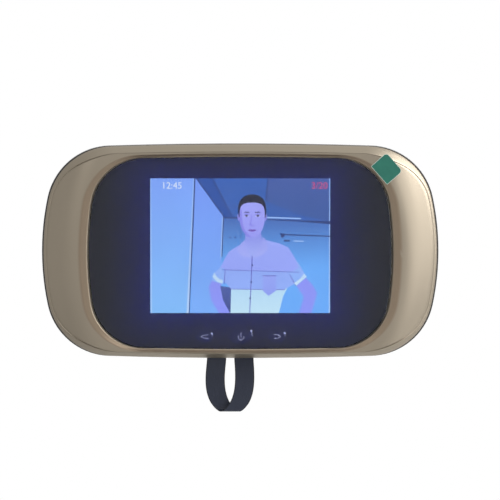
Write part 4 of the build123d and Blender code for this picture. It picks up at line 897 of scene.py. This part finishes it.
def halo_effect():
    """Share of the screen's light at a place on the panel: whole at the window, none at its reach."""
    tree, start, end = effect_group("window_halo", [
        ("Middle", ARROW, (0.0, 0.0, 0.0)), ("Half Size", ARROW, (0.03, 1.0, 0.02)), ("Reach", NUMBER, 0.02)],
        [("Halo", NUMBER)])
    past = on_piece(tree)
    for operation, other in (("SUBTRACT", start["Middle"]), ("ABSOLUTE", (0, 0, 0)),
                             ("SUBTRACT", start["Half Size"]), ("MAXIMUM", (0, 0, 0))):
        past = add_node(tree, "VectorMath", {0: past, 1: other}, operation=operation)["Vector"]
    far = add_node(tree, "VectorMath", {0: past}, operation="LENGTH")["Value"]
    left = reckoned(tree, "SUBTRACT", 1.0, reckoned(tree, "DIVIDE", far, start["Reach"]))
    tree.links.new(reckoned(tree, "POWER", reckoned(tree, "MAXIMUM", left, 0.0), HALO_FALL), end["Halo"])
    return tree


def black_print():
    """Black print on the panel's back, bluer round the window where the screen's light creeps in."""
    material = finish("black_print", (14, 16, 36), (19, 21, 42), 0.35, depth=0.0,
                      fixed={"Specular IOR Level": 0.05})
    tree, colour, shader = inside(material)
    halo = add_node(tree, "Group", {
        "Middle": at(0, PICTURE_UP, 0), "Half Size": (PICTURE_WIDE / 2 * MM, 1.0, PICTURE_TALL / 2 * MM),
        "Reach": HALO_REACH}, node_tree=halo_effect())["Halo"]
    tree.links.new(mixed(tree, halo, colour, tone(14, 28, 120)), shader["Base Color"])
    return material


def flat_sheet(name, loops, low, high, material, body, stands_for=(), slot=None):
    """A flat sheet between two heights, cut to its first loop and open at the others."""
    line = bpy.data.curves.new(name, "CURVE")
    line.dimensions = "2D"
    line.fill_mode = "BOTH"
    line.extrude = (high - low) / 2 * MM
    for loop in loops:
        spline = line.splines.new("POLY")
        spline.points.add(len(loop) - 1)
        for held, (x, y) in zip(spline.points, loop):
            held.co = (x * MM, y * MM, 0.0, 1.0)
        spline.use_cyclic_u = True
    spots, faces = meshed(line)
    middle = (low + high) / 2 * MM
    build(name, [(x, -middle - z, y) for x, y, z in spots], faces, material, body, stands_for, slot)


def rounded_box(left, right, low, high, *radii, steps=6):
    """Loop of a box with round corners, of one radius or of four from the upper right one round."""
    loop = []
    sides = ((right, high), (left, high), (left, low), (right, low))
    for quarter, ((x, y), radius) in enumerate(zip(sides, radii if len(radii) == 4 else radii * 4)):
        x += radius if x == left else -radius
        y += radius if y == low else -radius
        for step in range(steps + 1):
            turn = (quarter + step / steps) * pi / 2
            loop.append((x + radius * cos(turn), y + radius * sin(turn)))
    return loop


window = rounded_box(-PICTURE_WIDE / 2, PICTURE_WIDE / 2, PICTURE_UP - PICTURE_TALL / 2,
                     PICTURE_UP + PICTURE_TALL / 2, WINDOW_CORNER_R)
key_openings = [rounded_box(x - long / 2 - KEY_CLEAR, x + long / 2 + KEY_CLEAR, KEY_UP - wide / 2 - KEY_CLEAR,
                            KEY_UP + wide / 2 + KEY_CLEAR, wide / 2) for name, x, long, wide in KEYS]
flat_sheet("panel_print", [panel_outline(PANEL, -PRINT_INSET), window, *key_openings],
           PANEL_BACK + PRINT_THICK, PANEL_BACK + 2 * PRINT_THICK, black_print(), "monitor",
           slot="black_gloss")

FILM_INSET = 0.25
FILM_LOW = 16.63
FILM_TOP = 16.72
CLEAR_FILM = finish("clear_film", (250, 251, 255), (240, 244, 252), 0.29, spread=0.0, patch=40.0,
                    depth=0.0, fixed={"Transmission Weight": 0.998, "IOR": 1.15})
flat_sheet("film_sheet", [panel_outline(PANEL, -FILM_INSET)], FILM_LOW, FILM_TOP, CLEAR_FILM, "monitor",
           ["protective_film"], "clear_film")

TAB_ACROSS = 46.85
TAB_UP = 26.92
TAB_LONG = 7.9
TAB_WIDE = 6.7
TAB_TURN = radians(-48.5)
TAB_CORNERS = (1.4, 1.2, 0.4, 0.4)
TAB_RIM = 0.14
TAB_LOW = 18.32
TAB_TOP = 18.46
RIM_INSET = 0.02
RIM_LAP = 0.01
RIM_DROP = 0.01


def tab_loop(grow):
    """Loop of the tongue, turned to the film's corner and drawn in from its edges."""
    half_long, half_wide = TAB_LONG / 2 + grow, TAB_WIDE / 2 + grow
    radii = [radius + grow for radius in TAB_CORNERS]
    c, s = cos(TAB_TURN), sin(TAB_TURN)
    return [(TAB_ACROSS + x * c - y * s, TAB_UP + x * s + y * c)
            for x, y in rounded_box(-half_long, half_long, -half_wide, half_wide, *radii)]


TAB_GREEN = finish("tab_green", (40, 108, 92), (28, 86, 74), 0.4, patch=260.0, grain=800.0,
                   fixed={"Specular IOR Level": 0.3})
TAB_EDGE = finish("tab_edge", (196, 206, 198), (180, 194, 184), 0.3, depth=0.0)
flat_sheet("tab_tongue", [tab_loop(-TAB_RIM)], TAB_LOW, TAB_TOP, TAB_GREEN, "monitor", ["film_pull_tab"],
           "green_tab")
flat_sheet("tab_rim", [tab_loop(-RIM_INSET), tab_loop(RIM_LAP - TAB_RIM)], TAB_LOW, TAB_TOP - RIM_DROP,
           TAB_EDGE, "monitor", slot="green_tab")

# Screen: a glass cell over a white backlight, lit with the camera's picture of a visitor.
# The picture is laid in the cell's front glass as lit shapes, right behind the panel's window.

GLASS_TOP = 14.8
LAYER = 0.004
dress(finish("screen_glass", (24, 26, 34), (30, 32, 42), 0.1, spread=0.02, depth=0.0), "lcd_glass")
HEAD_MIDDLE = (3.84, 9.55)


def light_effect():
    """Colour of the screen's light: one tone low on the picture, another high, with a slow drift."""
    tree, start, end = effect_group("screen_light", [
        ("Low Colour", COLOUR, tone(90, 140, 240)), ("High Colour", COLOUR, tone(90, 140, 240)),
        ("Low", NUMBER, -0.02), ("High", NUMBER, 0.02), ("Drift", NUMBER, 0.12)], [("Colour", COLOUR)])
    climb = add_node(tree, "MapRange", {
        "Value": height_on_piece(tree), "From Min": start["Low"], "From Max": start["High"]})["Result"]
    cloud = add_node(tree, "TexNoise", {"Vector": on_piece(tree), "Scale": 110.0})["Fac"]
    gain = reckoned(tree, "MULTIPLY_ADD", reckoned(tree, "SUBTRACT", cloud, 0.5), start["Drift"], 1.0)
    plain = mixed(tree, climb, start["Low Colour"], start["High Colour"])
    bright = add_node(tree, "VectorMath", {0: plain, "Scale": gain}, operation="SCALE")["Vector"]
    tree.links.new(bright, end["Colour"])
    return tree


SCREEN_LIGHT = light_effect()


def lit(name, low, high, bottom, top, drift=0.12):
    """Light of the screen between two heights on the picture, each with its tone."""
    material = finish(name, (0, 0, 0), (2, 2, 2), 0.4, depth=0.0,
                      fixed={"Emission Strength": 1.0, "Specular IOR Level": 0.0})
    tree, colour, shader = inside(material)
    glow = add_node(tree, "Group", {
        "Low Colour": tone(*low), "High Colour": tone(*high), "Low": (PICTURE_UP + bottom) * MM,
        "High": (PICTURE_UP + top) * MM, "Drift": drift}, node_tree=SCREEN_LIGHT)
    tree.links.new(glow["Colour"], shader["Emission Color"])
    return material


def both_sides(*loops):
    """Each loop and its mirror image."""
    return [[(side * x, y) for x, y in loop] for loop in loops for side in (1, -1)]


# Each shape of the picture: its name, its tone low down and high up, where it is drawn from,
# and its corners in millimetres to the right and up from there.
ROOM = (
    ("back_wall", (110, 182, 255), (70, 114, 188),
     [((-28.8, 21.6), (-28.8, -21.6), (28.8, -21.6), (28.8, 21.6))], -7, 8),
    ("ceiling", (48, 98, 178), (46, 98, 182),
     [((-14.1, 21.6), (28.8, 21.6), (28.8, 7.5), (8.6, 8.6), (-5.2, 9.2))]),
    ("ceiling_left", (22, 78, 162), (26, 80, 164),
     [((-13.9, 21.6), (-9, 21.6), (-2.7, 9.5), (-5.2, 9.2))]),
    ("ceiling_right", (56, 92, 160), (66, 94, 166),
     [((9, 21.6), (28.8, 21.6), (28.8, 7.8), (18.5, 10.1), (8.2, 14.3))]),
    ("second_wall", (130, 186, 255), (124, 160, 250),
     [((-14.3, 21.6), (-5.3, 9.2), (-6, -3.6), (-6, -21.6), (-16, -21.6))]),
    ("left_wall", (138, 200, 255), (134, 174, 255),
     [((-28.8, 21.6), (-14.8, 21.6), (-17, -21.6), (-28.8, -21.6))]),
    ("wall_strip", (196, 224, 255), (150, 190, 250),
     [((-15, 21.6), (-14.7, 21.6), (-16.5, -21.6), (-17.2, -21.6)), ((-5.8, 9), (-5.5, 9), (-6, -3.6),
     (-6.3, -3.6)), ((-28.8, 21.6), (-28.5, 21.6), (-28.3, -21.6), (-28.6, -21.6)), ((28.8, 21.6),
     (28.5, 21.6), (28.4, -21.6), (28.7, -21.6)), ((8.6, 9.3), (19.5, 8.9), (19.5, 8.5), (8.6, 8.8)),
     ((17.1, 1.7), (20.4, 1.6), (20.4, 1.25), (17.1, 1.35))]),
    ("dark_lines", (44, 66, 128), (36, 58, 122),
     [((-14.7, 21.6), (-14.3, 21.6), (-16.2, -21.6), (-16.5, -21.6)), ((-14.2, 21.6), (-13.7, 21.6),
     (-4.9, 9.2), (-5.3, 9.2)), ((-9.2, 21.6), (-8.7, 21.6), (-2.5, 9.5), (-2.8, 9.5)), ((8.8, 21.6),
     (9.2, 21.6), (8.3, 14.3), (8, 14.3)), ((-5.4, 9.3), (-0.5, 9.2), (-0.5, 8.7), (-5.4, 8.8)), ((-5.5, 9.2),
     (-5.2, 9.2), (-5.7, -3.6), (-6, -3.6)), ((8.6, 8.5), (19.5, 8.1), (28.8, 7.9), (28.8, 6.9), (19.5, 7.7),
     (8.6, 8.25)), ((13.1, 3.8), (28.8, 3.2), (28.8, 2.85), (13.1, 3.4)), ((12.7, 4), (14.2, 3.9), (14.2, 3),
     (13.3, 2.4)), ((14, 1.9), (15.9, 1.85), (15.9, 1.35), (14, 1.35))]),
    ("faint_lines", (60, 88, 158), (56, 86, 160),
     [((-10.9, 18.2), (8.6, 18.2), (8.6, 18), (-10.8, 18)), ((-8.1, 12.8), (-0.1, 12.8), (-0.1, 12.5),
     (-7.9, 12.5)), ((25.7, 19.7), (26, 19.7), (18.7, 10.1), (18.4, 10.1)), ((0.15, 5), (0.3, 5), (0.3, 2.2),
     (0.15, 2.2)), ((-3.5, 2.9), (-2.9, 2.9), (-2.9, 2.4), (-3.5, 2.4)), ((-1.9, 2.9), (-1.3, 2.9),
     (-1.3, 2.4), (-1.9, 2.4))]),
)
VISITOR = (
    ("arm_gap", (58, 74, 142), (76, 96, 168),
     [((-6.5, -12.9), (-2.9, -13.4), (-3.1, -21.6), (-3.5, -21.6), (-5.6, -17.4))]),
    ("arms", (150, 158, 255), (152, 156, 250),
     [((-9, -11), (-10.1, -13.2), (-9.3, -17.4), (-6.8, -21.6), (-3.3, -21.6), (-5.5, -17.4), (-6.4, -12.9),
     (-5.7, -12)), ((21, -10.3), (23, -12.3), (24.7, -15.2), (22.8, -21.6), (18.8, -21.6), (20.4, -16.4),
     (18, -12.9))]),
    ("shirt_low", (212, 246, 255), (196, 232, 250),
     [((-2.9, -13.4), (15.2, -13.4), (13.7, -16.4), (12.4, -21.6), (-3.1, -21.6))]),
    ("shirt_middle", (158, 186, 255), (156, 182, 252),
     [((-4.6, -7.5), (20.1, -8.1), (17.9, -12), (14, -14.1), (-2.9, -13.9), (-5.2, -11.3), (-6.4, -8.6))]),
    ("sleeves", (150, 190, 255), (160, 188, 252),
     [((-6, -6.2), (-6.9, -7.6), (-8.2, -8.6), (-9, -11.3), (-5.6, -12.4), (-4.7, -9.7)), ((17, -4.2),
     (18.6, -5.4), (20.3, -8.4), (21.2, -9.9), (17.9, -12.8), (15.6, -9.4))]),
    ("yoke", (164, 176, 255), (168, 180, 255),
     [((1.9, 1.2), (-1.3, -0.4), (-3.6, -1.9), (-5, -4.3), (-6.3, -6.9), (-4.9, -7.6), (17, -8.2), (18.6, -7),
     (17.9, -4.6), (15.5, -0.6), (12.7, 0.7), (8.3, 1.8))]),
    ("neck", (180, 190, 255), (150, 152, 238),
     [((1.7, 4.6), (6.6, 4.6), (7.2, 0.2), (3.9, -3.6), (1.5, 0.2))]),
    ("seams", (116, 124, 206), (112, 110, 196),
     [((-5.9, -7.6), (18.9, -8.4), (18.9, -8.6), (-5.9, -7.8)), ((-2.9, -13.8), (14.4, -14), (14.4, -14.25),
     (-2.9, -14)), ((3.7, -3.4), (4, -3.4), (3.2, -21.6), (2.9, -21.6)), ((7.2, -9.5), (11.6, -9.5),
     (11.6, -9.8), (7.2, -9.8)), ((-4.9, -7.6), (-4.7, -7.6), (-5, -12.2), (-5.3, -12.2)), ((15.7, -9.2),
     (15.95, -9.2), (18, -12.8), (17.7, -12.9))]),
    ("pocket", (154, 168, 248), (162, 176, 252),
     [((7.3, -9.8), (11.5, -9.8), (11.5, -14.4), (9.1, -16.1), (7.3, -14.5))]),
    ("collar", (182, 188, 255), (166, 170, 246),
     [((1.6, 1.9), (0.4, 0.9), (-1.2, -1.3), (0.7, -3.4), (3.6, -3.8), (1.9, -0.4)), ((7.2, 2.9), (8.6, 1.5),
     (8.9, -1.3), (6.8, -3.2), (3.9, -3.8), (6.7, -0.2))]),
    ("cuffs", (214, 238, 252), (196, 226, 252),
     [((-8.3, -8.5), (-7.7, -9.7), (-6.8, -10.6), (-5.5, -11.1), (-5.7, -12.1), (-7.4, -11.6), (-8.9, -10)),
     ((20.5, -8.9), (21.4, -9.9), (18, -12.8), (17.2, -12), (19.2, -10.6))]),
    ("buttons", (40, 50, 110), (40, 50, 110),
     [((3.6, -6), (4.1, -6), (4.1, -6.5), (3.6, -6.5)), ((3.3, -11.4), (3.8, -11.4), (3.8, -11.9),
     (3.3, -11.9)), ((2.9, -16.6), (3.4, -16.6), (3.4, -17.1), (2.9, -17.1))]),
)
# A plain face seen from the front, eyes half way up the head, drawn from between the eyes.
HEAD = (
    ("ears", (150, 146, 236), (154, 150, 240),
     both_sides(((-3.9, 0.6), (-4.45, 0.8), (-4.75, 0.1), (-4.6, -1.2), (-4.1, -1.9)))),
    ("hair", (12, 18, 60), (6, 10, 44),
     [((-4.3, -0.5), (-4.5, 1.5), (-4.45, 3.4), (-3.9, 5), (-2.7, 6.2), (-1.2, 6.8), (0.4, 6.95), (2, 6.6),
     (3.4, 5.6), (4.25, 4.1), (4.5, 2.2), (4.45, 0.6), (4.25, -0.7))]),
    ("face", (168, 166, 250), (174, 174, 254),
     [((-4, 1.6), (-4.05, -0.6), (-3.85, -2.6), (-3.2, -4.6), (-2.1, -6.1), (-1, -6.8), (0, -6.95), (1, -6.8),
     (2.1, -6.1), (3.2, -4.6), (3.85, -2.6), (4.05, -0.6), (4, 1.6), (3.7, 2.9), (2.9, 3.8), (1.4, 4.25),
     (-1.4, 4.25), (-2.9, 3.8), (-3.7, 2.9))]),
    ("face_shade", (148, 142, 236), (150, 146, 240),
     [((-4, 1.6), (-4.05, -0.6), (-3.85, -2.6), (-3.2, -4.6), (-2.1, -6.1), (-1, -6.8), (0, -6.95),
     (-0.9, -6.3), (-2.2, -4.8), (-2.9, -3), (-3.2, -1), (-3.3, 1), (-3.5, 2.6)), ((-0.3, 0.3), (-0.5, -1.6),
     (-0.95, -2.9), (-0.5, -3.3), (0, -3.4), (0.5, -3.3), (0.9, -2.9), (0.3, -3), (0, -2.9), (-0.4, -2.6),
     (-0.15, -1.4), (-0.1, 0.3)), ((-0.8, -5.5), (0, -5.75), (0.8, -5.5), (0, -5.6)),
     *both_sides(((-2.6, 0.55), (-1.7, 0.8), (-0.8, 0.5), (-0.9, 0.3), (-1.7, 0.5), (-2.5, 0.3)))]),
    ("brows", (52, 50, 110), (48, 46, 104),
     both_sides(((-2.8, 0.95), (-2.1, 1.4), (-0.9, 1.25), (-0.9, 0.95), (-2, 1.05)))),
    ("eye_whites", (206, 206, 250), (206, 206, 250),
     both_sides(((-2.55, 0), (-2.1, 0.27), (-1.55, 0.3), (-0.95, -0.05), (-1.4, -0.25), (-2.1, -0.27)))),
    ("eyes", (36, 32, 84), (34, 30, 80),
     both_sides(((-2.65, 0), (-2.1, 0.4), (-1.5, 0.42), (-0.9, -0.02), (-1.5, 0.28), (-2.1, 0.26)),
     ((-2.1, 0.25), (-1.5, 0.25), (-1.42, 0), (-1.6, -0.26), (-2, -0.26), (-2.18, 0)))),
    ("mouth", (136, 96, 196), (128, 90, 190),
     [((-1.4, -4.55), (-0.6, -4.3), (0, -4.35), (0.6, -4.3), (1.4, -4.55), (0.7, -4.95), (0, -5.05),
     (-0.7, -4.95))]),
    ("mouth_line", (84, 60, 146), (84, 60, 146),
     [((-1.45, -4.52), (0, -4.5), (1.45, -4.52), (1.2, -4.64), (0, -4.66), (-1.2, -4.64))]),
)


def lit_shapes(name, loops, middle, out, material):
    """Flat lit shapes at one depth in the glass."""
    spots, faces = together([(loop, [tuple(range(len(loop)))]) for loop in loops])
    spots = [at(middle[0] + x, middle[1] + y, out) for x, y in spots]
    build(name, spots, faces, material, "monitor", slot="lcd_face")


DIGIT_TALL = 2.1
DIGIT_FOOT = 18.3
FONT_SHARE = 0.7        # of the font's size that a digit is tall
CLOCK_LEFT = -25.2
COUNT_LEFT = 22.7
depth = GLASS_TOP + LAYER
for shapes, middle in ((ROOM, (0.0, 0.0)), (VISITOR, (0.0, 0.0)), (HEAD, HEAD_MIDDLE)):
    for name, low, high, loops, *span in shapes:
        heights = [middle[1] + y for loop in loops for x, y in loop]
        light = lit(f"light_{name}", low, high, *(span or (min(heights), max(heights))))
        lit_shapes(f"picture_{name}", loops, (middle[0], PICTURE_UP + middle[1]), depth, light)
        depth += LAYER


def lit_digits(name, text, left, colour):
    """Plain digits of the picture's clock and counter."""
    writing = bpy.data.curves.new(name, "FONT")
    writing.body = text
    writing.size = DIGIT_TALL / FONT_SHARE
    spots, faces = meshed(writing)
    light = lit(f"light_{name}", colour, colour, DIGIT_FOOT, DIGIT_FOOT + DIGIT_TALL, 0.0)
    spots = [at(left + x, PICTURE_UP + DIGIT_FOOT + y, depth) for x, y, z in spots]
    build(name, spots, faces, light, "monitor", slot="lcd_face")


lit_digits("picture_clock", "12:45", CLOCK_LEFT, (240, 246, 255))
lit_digits("picture_count", "3/20", COUNT_LEFT, (236, 70, 120))

# Studio: a pale floor below the part and a white world. A large soft lamp stands to the right,
# and others behind the case's edge, above, to the left and far in front, near the camera.

FLOOR_UP = -120.0
FLOOR_R = 320.0
FLOOR_OUT = -60.0
FLOOR_ROUND = 64
AMBIENT = 0.46        # the world's strength as light


def studio_floor():
    """A round pale floor below the part and its ribbon."""
    turns = [2 * pi * step / FLOOR_ROUND for step in range(FLOOR_ROUND)]
    spots = [at(0, FLOOR_UP, 0)]
    spots += [at(FLOOR_R * cos(t), FLOOR_UP, FLOOR_R * sin(t) + FLOOR_OUT) for t in turns]
    mesh = bpy.data.meshes.new("studio_floor")
    mesh.from_pydata(spots, [], [(0, t + 1, (t + 1) % FLOOR_ROUND + 1) for t in range(FLOOR_ROUND)])
    mesh.materials.append(finish("pale_floor", (198, 198, 198), (192, 192, 192), 0.7, patch=4.0, grain=300.0))
    placed("studio_floor", mesh)


def soft_lamp(name, spot, aim, size, power):
    """A round lamp that looks at a spot, its size in metres and its power in watts."""
    lamp = bpy.data.lights.new(name, "AREA")
    lamp.shape = "DISK"
    lamp.size = size
    lamp.energy = power
    holder = placed(name, lamp)
    holder.location = spot
    holder.rotation_euler = (aim - spot).to_track_quat("-Z", "Y").to_euler()
    holder.visible_transmission = False


def studio_world():
    """White where it is seen straight, in gloss or through clear parts, and softer as light."""
    world = bpy.data.worlds.new("studio")
    bpy.context.scene.world = world
    world.use_nodes = True
    tree = world.node_tree
    back = tree.nodes["Background"].inputs
    back["Color"].default_value = (1, 1, 1, 1)
    path = add_node(tree, "LightPath", {})
    seen = reckoned(tree, "MAXIMUM", path["Is Camera Ray"], path["Is Glossy Ray"])
    seen = reckoned(tree, "MAXIMUM", seen, path["Is Transmission Ray"])
    strength = add_node(tree, "MapRange", {"Value": seen, "To Min": AMBIENT, "To Max": 1.0})["Result"]
    tree.links.new(strength, back["Strength"])


studio_floor()
studio_world()
centre = at(3.14, 0.78, 16.6)
soft_lamp("key_lamp", at(570, 290, 285), centre, 1.1, 6.6)
soft_lamp("edge_lamp", at(430, 330, -150), centre, 0.7, 8.2)
soft_lamp("top_lamp", at(120, 620, 240), centre, 0.5, 0.9)
soft_lamp("fill_lamp", at(-480, 600, 900), centre, 0.9, 2.0)
soft_lamp("sheen_lamp", at(125, -140, 2600), centre, 0.14, 0.09)

VIEW_RISE = radians(3.5)
LENS_LONG = 500.0
SENSOR_WIDE = 36.0
FRAME_WIDE = 160.0
CLIP_FAR = 20.0
camera = placed("camera", bpy.data.cameras.new("camera"))
camera.data.lens = LENS_LONG
camera.data.sensor_width = SENSOR_WIDE
reach = LENS_LONG / SENSOR_WIDE * FRAME_WIDE * MM
camera.location = centre + Vector((0, -cos(VIEW_RISE), sin(VIEW_RISE))) * reach
camera.rotation_euler = (centre - camera.location).to_track_quat("-Z", "Y").to_euler()
camera.data.clip_end = CLIP_FAR
bpy.context.scene.camera = camera
bpy.context.scene.view_settings.view_transform = "Standard"
